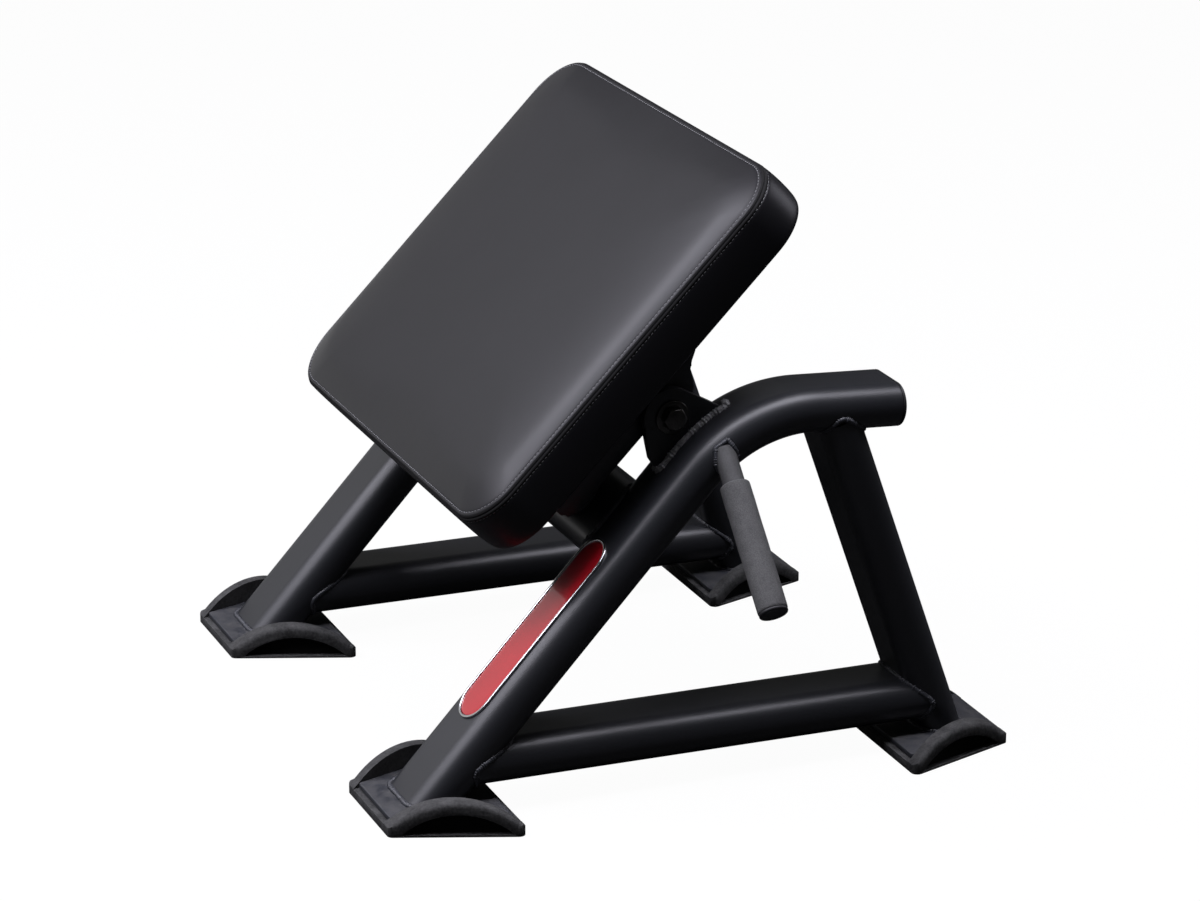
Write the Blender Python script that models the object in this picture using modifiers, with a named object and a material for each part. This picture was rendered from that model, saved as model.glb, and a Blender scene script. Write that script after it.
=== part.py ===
"""Hip thrust bench: two flat-oval side frames, one cross tube, four rubber feet and a tilting pad.

Metres, +Z up, the floor at Z = 0. X runs across the bench, Y from its front feet to its rear feet.
The pad is drawn tipped down at its front, resting on its two buffers.
"""

import math

import bmesh
import bpy
from mathutils import Matrix, Vector

# Gaps between pieces
FIT = 0.0003
RUNNING = 0.00005
# How far a cutter reaches past what it cuts
CUT_PAST = 1.0

# Flat-oval tube, its wide side across the bench
TUBE_WIDE = 0.100
TUBE_THIN = 0.050
TUBE_WALL = 0.003
FRAME_HALF = 0.2921

# Main tube: front leg, bend and top stretch
LEG_FOOT_Y = -0.32145
LEG_ANGLE = math.radians(47.55)
CORNER_HEIGHT = 0.4196
TOP_SLOPE = math.radians(2.91)
TOP_LENGTH = 0.1815
BEND_RADIUS = 0.172
BEND_STEPS = 14

# Rear leg, lower tube and cross tube
REAR_FOOT_Y = 0.31405
REAR_TILT = math.radians(19.40)
LOWER_HEIGHT = 0.0542
CROSS_ALONG_LEG = 0.3865

# End cap of the main tube
CAP_RIM = 0.0015
CAP_DOME = 0.0055
CAP_SPIGOT = 0.022
CAP_WALL = 0.0025

# Feet
FOOT_PAST_FRONT = 0.0538
FOOT_PAST_REAR = 0.0612
FOOT_LENGTH = 0.1425
FOOT_NARROW = 0.0700
FOOT_WIDE = 0.1230
FOOT_CORNER = 0.007
SLAB = 0.010
BASE_THICK = 0.006
BASE_SETBACK = 0.007
WALL_THICK = 0.018
WALL_RISE = 0.040
WALL_RADIUS = 0.108
RECESS_DEPTH = 0.008
RECESS_BAND = 0.014
RECESS_SILL = 0.0025
WALL_END = 0.0105

# Pivot, ahead of and below the corner of the main tube's mid line; the bracket's points are from the pivot
PIVOT_AHEAD = 0.07562
PIVOT_UNDER = 0.0036
BRACKET_INBOARD = 0.0161
BRACKET_THICK = 0.012
BRACKET_ROUND = 0.033
BRACKET_REAR_SLOPE = math.radians(28.9)
BRACKET_FRONT = ((-0.0320, -0.0130), (-0.0252, -0.0467), (-0.0165, -0.0605))
BRACKET_SUNK = ((-0.00175, -0.0710), (0.05825, -0.0210))
BRACKET_REAR = 0.0660
BOLT_D = 0.016
HEX_ACROSS = 0.024
HEAD_TALL = 0.010
NUT_TALL = 0.013
WASHER_D = 0.040
WASHER_THICK = 0.003
BOLT_PAST_NUT = 0.004
BUSH_D = 0.022
FLANGE_D = 0.032
FLANGE_THICK = 0.003
LUG_THICK = 0.008
LUG_ROUND = 0.026
LUG_LEAD = 0.010
# Lower edge of the lug's toe and its rear edge, from the pivot
LUG_TOE = (
    (0.0225, -0.0165), (0.0300, -0.0128), (0.0377, -0.0076), (0.0430, -0.0040),
    (0.0478, 0.0030), (0.0533, 0.0126), (0.0623, 0.0186), (0.0733, 0.0236),
)
LUG_BACK = 0.0765

# Pad, in its own frame: u across, s up the slope, n out of the face, from the middle of the seam plane
PIVOT_S = -0.01810
PIVOT_N = -0.11079
PAD_PITCH = math.radians(45.64)
PAD_WIDE = 0.642
PAD_LONG = 0.509
PAD_CORNER = 0.060
PAD_BOXING = 0.063
PAD_CROWN = 0.009
PAD_CROWN_IN = 0.140
PAD_BULGE = 0.0015
PAD_TURN = 0.0055
PAD_TUCK = 0.020
BOARD_INSET = 0.028
BOARD_THICK = 0.012
BOARD_CORNER = 0.035

# Carrier under the pad
PLATE_FRONT = -0.180
PLATE_LOW = -0.1065
PLATE_NOSE = 0.012
CARRIER_FRONT_S = (-0.175, -0.125)
CARRIER_FRONT_TALL = 0.030
CARRIER_REAR_S = (0.002, 0.042)
CARRIER_REAR_TALL = 0.025
CARRIER_WALL = 0.0025
BOARD_BOLT_D = 0.008
BOARD_BOLT_HEX = 0.013
BOARD_BOLT_HEAD = 0.0053
BOARD_BOLT_U = 0.085
BOARD_BOLT_IN = 0.009

# Buffers on the cross tube
BUFFER_INBOARD = 0.1071
BUFFER_D = 0.040
SEAT_D = 0.046
SEAT_THICK = 0.005
SEAT_BORE = 0.008
BUFFER_LIP = 0.0015
BUFFER_FULL = 0.060

# Band peg
PEG_AHEAD = 0.03287
PEG_UNDER = 0.0416
PEG_DOWN = math.radians(45.4)
PEG_SUNK = 0.0002
PEG_IN = 0.012
PEG_BAR_D = 0.025
PEG_BAR_WALL = 0.003
PEG_BARE = 0.032
PEG_SLEEVE_D = 0.034
PEG_SLEEVE_LONG = 0.154
PEG_PLUG_THICK = 0.0036
PEG_PLUG_SPIGOT = 0.014

# Name plate on the right leg
PLATE_FROM = 0.112
PLATE_TO = 0.362
PLATE_WIDE = 0.057
PLATE_RIM = 0.0036
PLATE_RIM_TALL = 0.0022
PLATE_INLAY_TALL = 0.0014

# Derived
SLOPE = Vector((0.0, math.cos(LEG_ANGLE), math.sin(LEG_ANGLE)))
OFF_LEG = Vector((0.0, -math.sin(LEG_ANGLE), math.cos(LEG_ANGLE)))
UP_PAD = Vector((0.0, math.cos(PAD_PITCH), math.sin(PAD_PITCH)))
OFF_PAD = Vector((0.0, -math.sin(PAD_PITCH), math.cos(PAD_PITCH)))
ACROSS = Vector((1.0, 0.0, 0.0))
CORNER = (LEG_FOOT_Y + CORNER_HEIGHT / math.tan(LEG_ANGLE), CORNER_HEIGHT)
PIVOT_Y = CORNER[0] - PIVOT_AHEAD
PIVOT_Z = CORNER[1] - PIVOT_UNDER
PAD_MIDDLE = Vector((0.0, PIVOT_Y, PIVOT_Z)) - UP_PAD * PIVOT_S - OFF_PAD * PIVOT_N
BRACKET_IN = FRAME_HALF - BRACKET_INBOARD
BRACKET_OUT = BRACKET_IN + BRACKET_THICK
LUG_OUT = BRACKET_IN - FLANGE_THICK - 2 * FIT
LUG_IN = LUG_OUT - LUG_THICK
BASE_TOP = SLAB + FIT + BASE_THICK
CUSHION_LOW = -PAD_BOXING
BOARD_TOP = CUSHION_LOW - FIT
BOARD_LOW = BOARD_TOP - BOARD_THICK
CARRIER_TOP = BOARD_LOW - FIT

SIDES = (("right", 1), ("left", -1))

bench = None
tools = None


def start():
    """Empties the scene and makes the two collections."""
    global bench, tools
    for obj in list(bpy.data.objects):
        bpy.data.objects.remove(obj, do_unlink=True)
    bench = bpy.data.collections.new("hip_thrust_bench")
    tools = bpy.data.collections.new("cutters")
    for collection in (bench, tools):
        bpy.context.scene.collection.children.link(collection)
    tools.hide_render = True


def material(name, colour, roughness, metallic=0.0):
    """A plain surface, made once."""
    if name in bpy.data.materials:
        return bpy.data.materials[name]
    made = bpy.data.materials.new(name)
    made.use_nodes = True
    shader = made.node_tree.nodes["Principled BSDF"]
    shader.inputs["Base Color"].default_value = (*colour, 1.0)
    shader.inputs["Roughness"].default_value = roughness
    shader.inputs["Metallic"].default_value = metallic
    made.diffuse_color = (*colour, 1.0)
    return made


def frame_coat():
    return material("charcoal_powder_coat", (0.020, 0.021, 0.024), 0.42)


def foot_rubber():
    return material("foot_rubber", (0.030, 0.030, 0.031), 0.85)


def buffer_rubber():
    return material("buffer_rubber", (0.012, 0.012, 0.012), 0.70)


def black_plastic():
    return material("black_plastic", (0.018, 0.018, 0.020), 0.45)


def bolt_steel():
    return material("dark_bolt_steel", (0.120, 0.115, 0.110), 0.35, 1.0)


def bush_bronze():
    return material("bush_bronze", (0.420, 0.250, 0.110), 0.40, 1.0)


def pad_vinyl():
    return material("pad_vinyl", (0.014, 0.014, 0.015), 0.48)


def pad_plywood():
    return material("painted_plywood", (0.022, 0.021, 0.020), 0.75)


def grip_sleeve():
    return material("grip_sleeve", (0.022, 0.022, 0.023), 0.80)


def plate_silver():
    return material("plate_silver", (0.700, 0.700, 0.710), 0.28, 1.0)


def plate_red():
    return material("plate_red", (0.560, 0.010, 0.016), 0.30)


def placed(obj, matrix):
    """Moves the vertices, so that the object itself stays at the origin."""
    obj.data.transform(matrix)
    if matrix.determinant() < 0:
        obj.data.flip_normals()
    return obj


def meshed(source, name, home):
    """The evaluated shape as a plain mesh object, the source removed."""
    bpy.context.view_layer.update()
    depsgraph = bpy.context.evaluated_depsgraph_get()
    mesh = bpy.data.meshes.new_from_object(source.evaluated_get(depsgraph))
    work = bmesh.new()
    work.from_mesh(mesh)
    bmesh.ops.remove_doubles(work, verts=work.verts, dist=0.000001)
    bmesh.ops.recalc_face_normals(work, faces=work.faces)
    work.to_mesh(mesh)
    work.free()
    mesh.name = name
    made = bpy.data.objects.new(name, mesh)
    home.objects.link(made)
    made.matrix_world = source.matrix_world
    bpy.data.objects.remove(source, do_unlink=True)
    return made


def add_loop(curve, loop, closed=True):
    spline = curve.splines.new("POLY")
    spline.points.add(len(loop) - 1)
    for point, (x, y) in zip(spline.points, loop):
        point.co = (x, y, 0.0, 1.0)
    spline.use_cyclic_u = closed
    return spline


def slab(name, loops, low, high, home=None):
    """A flat piece: closed outlines in x and y, holes after the first, between two heights."""
    curve = bpy.data.curves.new(name + "_outline", "CURVE")
    curve.dimensions = "2D"
    curve.fill_mode = "BOTH"
    curve.extrude = (high - low) / 2
    for loop in loops:
        add_loop(curve, loop)
    source = bpy.data.objects.new(name + "_outline", curve)
    tools.objects.link(source)
    made = meshed(source, name, home or bench)
    return placed(made, Matrix.Translation((0.0, 0.0, (low + high) / 2)))


def swept(name, path, section, home=None):
    """A section carried along an open path. Both lie in x and y; the section's y stands off the plane."""
    profile_curve = bpy.data.curves.new(name + "_section", "CURVE")
    profile_curve.dimensions = "2D"
    add_loop(profile_curve, section)
    profile = bpy.data.objects.new(name + "_section", profile_curve)
    tools.objects.link(profile)
    curve = bpy.data.curves.new(name + "_path", "CURVE")
    curve.dimensions = "2D"
    curve.bevel_mode = "OBJECT"
    curve.bevel_object = profile
    curve.use_fill_caps = True
    add_loop(curve, path, closed=False)
    source = bpy.data.objects.new(name + "_path", curve)
    tools.objects.link(source)
    made = meshed(source, name, home or bench)
    bpy.data.objects.remove(profile, do_unlink=True)
    return made


def turned(name, profile, segments, matrix, home=None):
    """A solid turned about z: (radius, height) pairs down its outer side, then its bore if it has one."""
    mesh = bpy.data.meshes.new(name + "_profile")
    closed = profile[0][0] > 0.0
    edges = [(i, i + 1) for i in range(len(profile) - 1)]
    if closed:
        edges.append((len(profile) - 1, 0))
    mesh.from_pydata([(r, 0.0, z) for r, z in profile], edges, [])
    source = bpy.data.objects.new(name + "_profile", mesh)
    tools.objects.link(source)
    screw = source.modifiers.new("turn", "SCREW")
    screw.steps = segments
    screw.render_steps = segments
    screw.axis = "Z"
    screw.use_merge_vertices = True
    screw.merge_threshold = 0.00001
    screw.use_normal_calculate = True
    return placed(meshed(source, name, home or bench), matrix)


def cut(obj, cutter, operation="DIFFERENCE", solver="EXACT"):
    """Takes the cutter's shape out of the object for good."""
    modifier = obj.modifiers.new("cut", "BOOLEAN")
    modifier.object = cutter
    modifier.operation = operation
    modifier.solver = solver
    bpy.context.view_layer.update()
    depsgraph = bpy.context.evaluated_depsgraph_get()
    mesh = bpy.data.meshes.new_from_object(obj.evaluated_get(depsgraph))
    obj.modifiers.clear()
    old = obj.data
    obj.data = mesh
    mesh.name = obj.name
    bpy.data.meshes.remove(old)
    return obj


def drop(*objects):
    for obj in objects:
        bpy.data.objects.remove(obj, do_unlink=True)


def mirrored(obj, name):
    """The same piece on the left side."""
    mesh = obj.data.copy()
    mesh.name = name
    made = bpy.data.objects.new(name, mesh)
    bench.objects.link(made)
    return placed(made, Matrix.Scale(-1.0, 4, ACROSS))


def finish(obj, surface, angle=35.0):
    """Gives the piece its material and smooth shading with sharp edges kept."""
    obj.data.materials.clear()
    obj.data.materials.append(surface)
    obj.data.shade_smooth()
    obj.data.set_sharp_from_angle(angle=math.radians(angle))
    return obj


def both(obj, surface, angle=35.0):
    """Finishes the right-hand piece and makes the left-hand one."""
    other = mirrored(obj, obj.name.replace("_right", "_left"))
    finish(obj, surface, angle)
    finish(other, surface, angle)


def axes(x, y, z, at):
    """A matrix from its three directions and its place."""
    made = Matrix((x, y, z)).transposed().to_4x4()
    made.translation = at
    return made


def flat_oval(wide, thin, steps=12):
    """The tube's outline, its wide side along y."""
    r = thin / 2
    reach = wide / 2 - r
    loop = []
    for side, first in ((1, 0.0), (-1, math.pi)):
        for i in range(steps + 1):
            a = first + math.pi * i / steps
            loop.append((r * math.cos(a), side * reach + r * math.sin(a)))
    return loop


def circle(radius, steps=32, x=0.0, y=0.0):
    turn = 2 * math.pi / steps
    return [(x + radius * math.cos(i * turn), y + radius * math.sin(i * turn)) for i in range(steps)]


def hexagon(across):
    r = across / math.sqrt(3)
    return [(r * math.cos(math.radians(60 * i)), r * math.sin(math.radians(60 * i))) for i in range(6)]


def rounded(points, radius, steps=5):
    """A closed outline with its corners rounded."""
    loop = []
    count = len(points)
    for i, corner in enumerate(points):
        here = Vector(corner)
        back = (Vector(points[i - 1]) - here).normalized()
        ahead = (Vector(points[(i + 1) % count]) - here).normalized()
        half = back.angle(ahead) / 2
        reach = radius / math.tan(half)
        middle = here + (back + ahead).normalized() * (radius / math.sin(half))
        first = here + back * reach - middle
        last = here + ahead * reach - middle
        turn = first.angle_signed(last)
        for j in range(steps + 1):
            swing = Matrix.Rotation(-turn * j / steps, 2)
            loop.append(tuple(middle + swing @ first))
    return loop


def side_frame_axes():
    """Path coordinates (y, z) laid in the plane of the right side frame, off the plane along X."""
    return axes(Vector((0, 1, 0)), Vector((0, 0, 1)), ACROSS, Vector((FRAME_HALF, 0, 0)))


def main_path(extra=0.0):
    """Mid line of the main tube as (y, z), from below the floor line to its open rear end."""
    turn = LEG_ANGLE + TOP_SLOPE
    tangent = BEND_RADIUS * math.tan(turn / 2)
    corner = Vector(CORNER)
    along_leg = Vector((math.cos(LEG_ANGLE), math.sin(LEG_ANGLE)))
    along_top = Vector((math.cos(TOP_SLOPE), -math.sin(TOP_SLOPE)))
    start_bend = corner - along_leg * tangent
    centre = start_bend + Vector((along_leg.y, -along_leg.x)) * BEND_RADIUS
    path = [Vector((LEG_FOOT_Y, 0.0)) - along_leg * (0.040 + extra)]
    for i in range(BEND_STEPS + 1):
        a = LEG_ANGLE - turn * i / BEND_STEPS
        path.append(centre + BEND_RADIUS * Vector((-math.sin(a), math.cos(a))))
    path.append(corner + along_top * (TOP_LENGTH + extra))
    return [tuple(point) for point in path]


def main_solid(name, grow, extra=0.0):
    """The main tube's outside shape grown by a gap, for cutting its neighbours."""
    section = flat_oval(TUBE_WIDE + 2 * grow, TUBE_THIN + 2 * grow)
    return placed(swept(name, main_path(extra), section, tools), side_frame_axes())


def floor_cutter(name):
    """Everything below the top of the base plates."""
    r = CUT_PAST
    loop = [(-r, -r), (r, -r), (r, r), (-r, r)]
    return slab(name, [loop], -r, BASE_TOP + FIT, tools)


def straight_tube(name, start, end, wide_along):
    """A hollow flat-oval tube between two points, its wide side along the given direction."""
    along = (end - start).normalized()
    across = wide_along.normalized()
    outside = flat_oval(TUBE_WIDE, TUBE_THIN)
    inside = flat_oval(TUBE_WIDE - 2 * TUBE_WALL, TUBE_THIN - 2 * TUBE_WALL)
    tube = slab(name, [outside, inside], 0.0, (end - start).length)
    return placed(tube, axes(across.cross(along), across, along, start))


def rear_leg_point(z):
    return Vector((FRAME_HALF, REAR_FOOT_Y - z * math.tan(REAR_TILT), z))


def leg_point(z):
    return Vector((FRAME_HALF, LEG_FOOT_Y + z / math.tan(LEG_ANGLE), z))


def solid_bar(name, start, end, wide_along, grow):
    """A straight flat-oval bar grown by a gap, for cutting a neighbour."""
    along = (end - start).normalized()
    across = wide_along.normalized()
    section = flat_oval(TUBE_WIDE + 2 * grow, TUBE_THIN + 2 * grow)
    bar = slab(name, [section], 0.0, (end - start).length, tools)
    return placed(bar, axes(across.cross(along), across, along, start))


def make_frame_tubes():
    """Main tubes, rear legs, lower tubes and the cross tube, each cut to fit its neighbour."""
    coat = frame_coat()
    below = floor_cutter("below_base")
    grown = main_solid("main_tube_grown", FIT)
    section = flat_oval(TUBE_WIDE, TUBE_THIN)
    bore_section = flat_oval(TUBE_WIDE - 2 * TUBE_WALL, TUBE_THIN - 2 * TUBE_WALL)
    main = placed(swept("main_tube_right", main_path(), section), side_frame_axes())
    bore = placed(swept("main_bore", main_path(0.01), bore_section, tools), side_frame_axes())
    cut(main, bore)
    cut(main, below)

    meeting = CORNER[1] - (REAR_FOOT_Y - CORNER[0]) * math.tan(TOP_SLOPE)
    top = meeting / (1.0 - math.tan(TOP_SLOPE) * math.tan(REAR_TILT))
    rear = straight_tube("rear_leg_right", rear_leg_point(-0.03), rear_leg_point(top), ACROSS)
    cut(rear, grown)
    cut(rear, below)

    rear_grown = solid_bar("rear_leg_grown", rear_leg_point(-0.03), rear_leg_point(top), ACROSS, FIT)
    lower_start = leg_point(LOWER_HEIGHT)
    lower_end = rear_leg_point(LOWER_HEIGHT)
    lower = straight_tube("lower_tube_right", lower_start, lower_end, ACROSS)
    cut(lower, grown)
    cut(lower, rear_grown)

    middle = Vector((0.0, LEG_FOOT_Y, 0.0)) + SLOPE * CROSS_ALONG_LEG
    reach = ACROSS * FRAME_HALF
    cross = straight_tube("frame_cross_tube", middle - reach, middle + reach, SLOPE)
    grown_left = main_solid("main_tube_grown_left", FIT)
    placed(grown_left, Matrix.Scale(-1.0, 4, ACROSS))
    cut(cross, grown, solver="MANIFOLD")
    cut(cross, grown_left, solver="MANIFOLD")

    both(main, coat)
    both(rear, coat)
    both(lower, coat)
    finish(cross, coat)
    drop(below, bore, rear_grown, grown_left)
    return grown


def make_end_caps():
    """Domed plugs in the rear ends of the main tubes."""
    along = Vector((0.0, math.cos(TOP_SLOPE), -math.sin(TOP_SLOPE)))
    up = Vector((0.0, math.sin(TOP_SLOPE), math.cos(TOP_SLOPE)))
    end = Vector((FRAME_HALF, CORNER[0], CORNER[1])) + along * TOP_LENGTH
    # Rings from the rim over the dome: (how much narrower all round, height)
    rings = [(0.0, FIT), (0.0, FIT + CAP_RIM)]
    for i in range(1, 6):
        a = math.radians(90 * i / 5.5)
        rings.append((0.020 * (1 - math.cos(a)), FIT + CAP_RIM + CAP_DOME * math.sin(a)))
    cap = lofted("main_end_cap_right", [
        [(x, y, z) for x, y in flat_oval(TUBE_WIDE - 2 * inset, TUBE_THIN - 2 * inset)]
        for inset, z in rings
    ])
    bore = TUBE_WIDE - 2 * TUBE_WALL - 2 * FIT
    thin = TUBE_THIN - 2 * TUBE_WALL - 2 * FIT
    spigot = slab("cap_spigot", [
        flat_oval(bore, thin),
        flat_oval(bore - 2 * CAP_WALL, thin - 2 * CAP_WALL),
    ], -CAP_SPIGOT, FIT + CAP_RIM / 2, tools)
    cut(cap, spigot, "UNION")
    placed(cap, axes(up, ACROSS, along, end))
    drop(spigot)
    both(cap, black_plastic(), 50.0)


def lofted(name, rings, home=None):
    """A closed skin over rings with the same number of points, capped at both ends."""
    work = bmesh.new()
    rows = [[work.verts.new(point) for point in ring] for ring in rings]
    for low, high in zip(rows, rows[1:]):
        count = len(low)
        for i in range(count):
            j = (i + 1) % count
            work.faces.new((low[i], low[j], high[j], high[i]))
    work.faces.new(rows[0][::-1])
    work.faces.new(rows[-1])
    bmesh.ops.recalc_face_normals(work, faces=work.faces)
    mesh = bpy.data.meshes.new(name)
    work.to_mesh(mesh)
    work.free()
    made = bpy.data.objects.new(name, mesh)
    (home or bench).objects.link(made)
    return made


def foot_outline(inset_side, from_outer, from_inner):
    """Plan of a foot as (x, y): y runs from its outer edge inwards, x is measured from the leg's middle."""
    def half(y):
        flare = (FOOT_WIDE - FOOT_NARROW) / FOOT_LENGTH
        return FOOT_NARROW + flare * y - inset_side * math.hypot(1.0, flare)
    low, high = from_outer, FOOT_LENGTH - from_inner
    return [(-half(low), low), (half(low), low), (half(high), high), (-half(high), high)]


def rim_height(t):
    """Height of the half-moon wall at a distance along the foot's flared side."""
    middle = math.hypot(FOOT_LENGTH, FOOT_WIDE - FOOT_NARROW) / 2
    sunk = WALL_RADIUS - WALL_RISE
    return max(WALL_END, math.sqrt(WALL_RADIUS ** 2 - (t - middle) ** 2) - sunk)


def make_foot(name):
    """One rubber foot: a floor with a half-moon wall down each flared side, hollowed outside."""
    side_long = math.hypot(FOOT_LENGTH, FOOT_WIDE - FOOT_NARROW)
    foot = slab(name, [rounded(foot_outline(0, 0, 0), FOOT_CORNER)], 0.0, WALL_RISE + SLAB)
    steps = 20
    ridge = [(FOOT_LENGTH * i / steps, rim_height(side_long * i / steps)) for i in range(steps + 1)]
    above = [(-SLAB, ridge[0][1])] + ridge + [(FOOT_LENGTH + SLAB, ridge[-1][1])]
    above += [(FOOT_LENGTH + SLAB, 2 * WALL_RISE), (-SLAB, 2 * WALL_RISE)]
    over = slab("over_rim", [above], -2 * FOOT_WIDE, 2 * FOOT_WIDE, tools)
    placed(over, axes(Vector((0, 1, 0)), Vector((0, 0, 1)), ACROSS, Vector()))
    cut(foot, over)
    channel = slab("channel", [foot_outline(WALL_THICK, -SLAB, -SLAB)], SLAB, 2 * WALL_RISE, tools)
    cut(foot, channel)
    drop(over, channel)

    flare = math.atan2(FOOT_WIDE - FOOT_NARROW, FOOT_LENGTH)
    sunk = WALL_RADIUS - WALL_RISE
    small = WALL_RADIUS - RECESS_BAND
    half_chord = math.sqrt(small ** 2 - (sunk + RECESS_SILL) ** 2)
    spread = math.asin(half_chord / small)
    moon = []
    for i in range(15):
        a = spread - 2 * spread * i / 14
        moon.append((side_long / 2 + small * math.sin(a), small * math.cos(a) - sunk))
    for side in (1, -1):
        pocket = slab("pocket", [moon], -RECESS_DEPTH, WALL_THICK, tools)
        along = Vector((side * math.sin(flare), math.cos(flare), 0.0))
        outward = Vector((side * math.cos(flare), -math.sin(flare), 0.0))
        placed(pocket, axes(along, Vector((0, 0, 1)), outward, Vector((side * FOOT_NARROW, 0.0, 0.0))))
        cut(foot, pocket)
        drop(pocket)
    return foot


def make_feet():
    """Four feet and the steel base plates that sit in them."""
    rubber = foot_rubber()
    coat = frame_coat()
    ends = (("front", 1, LEG_FOOT_Y - FOOT_PAST_FRONT), ("rear", -1, REAR_FOOT_Y + FOOT_PAST_REAR))
    for place, turn, end_y in ends:
        seat = axes(ACROSS, Vector((0, turn, 0)), Vector((0, 0, 1)), Vector((FRAME_HALF, end_y, 0)))
        foot = placed(make_foot(f"rubber_foot_{place}_right"), seat)
        both(foot, rubber, 30.0)
        plan = foot_outline(WALL_THICK + 0.001, BASE_SETBACK, BASE_SETBACK)
        base = slab(f"base_plate_{place}_right", [rounded(plan, 0.004)], SLAB + FIT, BASE_TOP)
        both(placed(base, seat), coat)


def across_axes(x, y, z):
    """Local z along +X, local x along Y and local y along Z."""
    return axes(Vector((0, 1, 0)), Vector((0, 0, 1)), ACROSS, Vector((x, y, z)))


def make_brackets(main_grown):
    """Rounded plates welded on the main tubes' top faces, with the pivot hole."""
    lean = BRACKET_REAR_SLOPE
    loop = []
    first = math.pi / 2 - lean
    last = math.pi + math.radians(22)
    for i in range(17):
        a = first + (last - first) * i / 16
        loop.append((PIVOT_Y + BRACKET_ROUND * math.cos(a), PIVOT_Z + BRACKET_ROUND * math.sin(a)))
    loop += [(PIVOT_Y + y, PIVOT_Z + z) for y, z in BRACKET_FRONT + BRACKET_SUNK]
    rear_top = PIVOT_Z + BRACKET_ROUND * math.sin(first)
    rear_fall = (BRACKET_REAR - BRACKET_ROUND * math.cos(first)) * math.tan(lean)
    loop.append((PIVOT_Y + BRACKET_REAR, rear_top - rear_fall))
    hole = circle(BOLT_D / 2 + FIT, 32, PIVOT_Y, PIVOT_Z)
    plate = slab("pivot_bracket_right", [loop, hole], 0.0, BRACKET_THICK)
    placed(plate, across_axes(BRACKET_IN, 0.0, 0.0))
    cut(plate, main_grown)
    both(plate, frame_coat())


def ring_profile(outer, inner, low, high, chamfer=0.0):
    return [
        (inner, high), (outer - chamfer, high), (outer, high - chamfer),
        (outer, low + chamfer), (outer - chamfer, low), (inner, low),
    ] if chamfer else [(inner, high), (outer, high), (outer, low), (inner, low)]


def make_pivots():
    """Bolt, washer and nut of each pivot, and the flanged bush in the pad's lug."""
    steel = bolt_steel()
    at = across_axes(0.0, PIVOT_Y, PIVOT_Z)
    washer_in = BRACKET_OUT + FIT
    head_in = washer_in + WASHER_THICK + FIT
    nut_out = LUG_IN - FIT
    bolt_end = nut_out - NUT_TALL - BOLT_PAST_NUT
    washer = turned("pivot_washer_right", ring_profile(
        WASHER_D / 2, BOLT_D / 2 + FIT, washer_in, washer_in + WASHER_THICK, 0.0008), 32, at)
    both(washer, steel)
    head = slab("pivot_bolt_right", [hexagon(HEX_ACROSS)], head_in, head_in + HEAD_TALL)
    chamfer = turned("head_chamfer", [
        (0.0, head_in + HEAD_TALL + 0.001), (HEX_ACROSS / 2 - 0.0028, head_in + HEAD_TALL + 0.001),
        (HEX_ACROSS / 2 + 0.0030, head_in + HEAD_TALL - 0.0024),
        (HEX_ACROSS / 2 + 0.0030, head_in - 0.01), (0.0, head_in - 0.01),
    ], 28, Matrix(), tools)
    cut(head, chamfer, "INTERSECT")
    shank = turned("bolt_shank", [
        (0.0, head_in + 0.002), (BOLT_D / 2, head_in + 0.002), (BOLT_D / 2, bolt_end + 0.0015),
        (BOLT_D / 2 - 0.0015, bolt_end), (0.0, bolt_end),
    ], 32, Matrix(), tools)
    cut(head, shank, "UNION")
    both(placed(head, at), steel)
    nut_loops = [hexagon(HEX_ACROSS), circle(BOLT_D / 2 + FIT)]
    nut = slab("pivot_nut_right", nut_loops, nut_out - NUT_TALL, nut_out)
    both(placed(nut, at), steel)
    flange_top = LUG_OUT + FIT + FLANGE_THICK
    bush = turned("pivot_bush_right", [
        (BOLT_D / 2 + RUNNING, flange_top), (FLANGE_D / 2, flange_top), (FLANGE_D / 2, LUG_OUT + FIT),
        (BUSH_D / 2, LUG_OUT + FIT), (BUSH_D / 2, LUG_IN + 0.0002), (BOLT_D / 2 + RUNNING, LUG_IN + 0.0002),
    ], 32, at)
    both(bush, bush_bronze())
    drop(chamfer, shank)


def pad_axes(x=0.0, s=0.0, n=0.0):
    """Local x along the pad's slope, local y out of its face, local z across it."""
    origin = PAD_MIDDLE + ACROSS * x + UP_PAD * s + OFF_PAD * n
    return axes(UP_PAD, OFF_PAD, ACROSS, origin)


def pad_face_axes(n=0.0):
    """Local x across the pad, local y up its slope, local z out of its face."""
    return axes(ACROSS, UP_PAD, OFF_PAD, PAD_MIDDLE + OFF_PAD * n)


def make_side_plates():
    """The pad's two side plates. The toe of each lands on the main tube's bend when the pad is level."""
    ps, pn = PIVOT_S, PIVOT_N
    nose = PLATE_NOSE
    loop = [(PLATE_FRONT, CARRIER_TOP), (PLATE_FRONT, PLATE_LOW + nose), (PLATE_FRONT + nose, PLATE_LOW)]
    lead = ps - math.sqrt(LUG_ROUND ** 2 - (pn - PLATE_LOW) ** 2) - LUG_LEAD
    loop.append((lead, PLATE_LOW))
    first, last = math.radians(198), math.radians(308)
    for i in range(13):
        a = first + (last - first) * i / 12
        loop.append((ps + LUG_ROUND * math.cos(a), pn + LUG_ROUND * math.sin(a)))
    loop += [(ps + ds, pn + dn) for ds, dn in LUG_TOE]
    loop.append((ps + LUG_BACK, CARRIER_TOP))
    hole = circle(BUSH_D / 2 + FIT, 32, ps, pn)
    plate = slab("pad_side_plate_right", [loop, hole], LUG_IN, LUG_OUT)
    both(placed(plate, pad_axes()), frame_coat())


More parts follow.
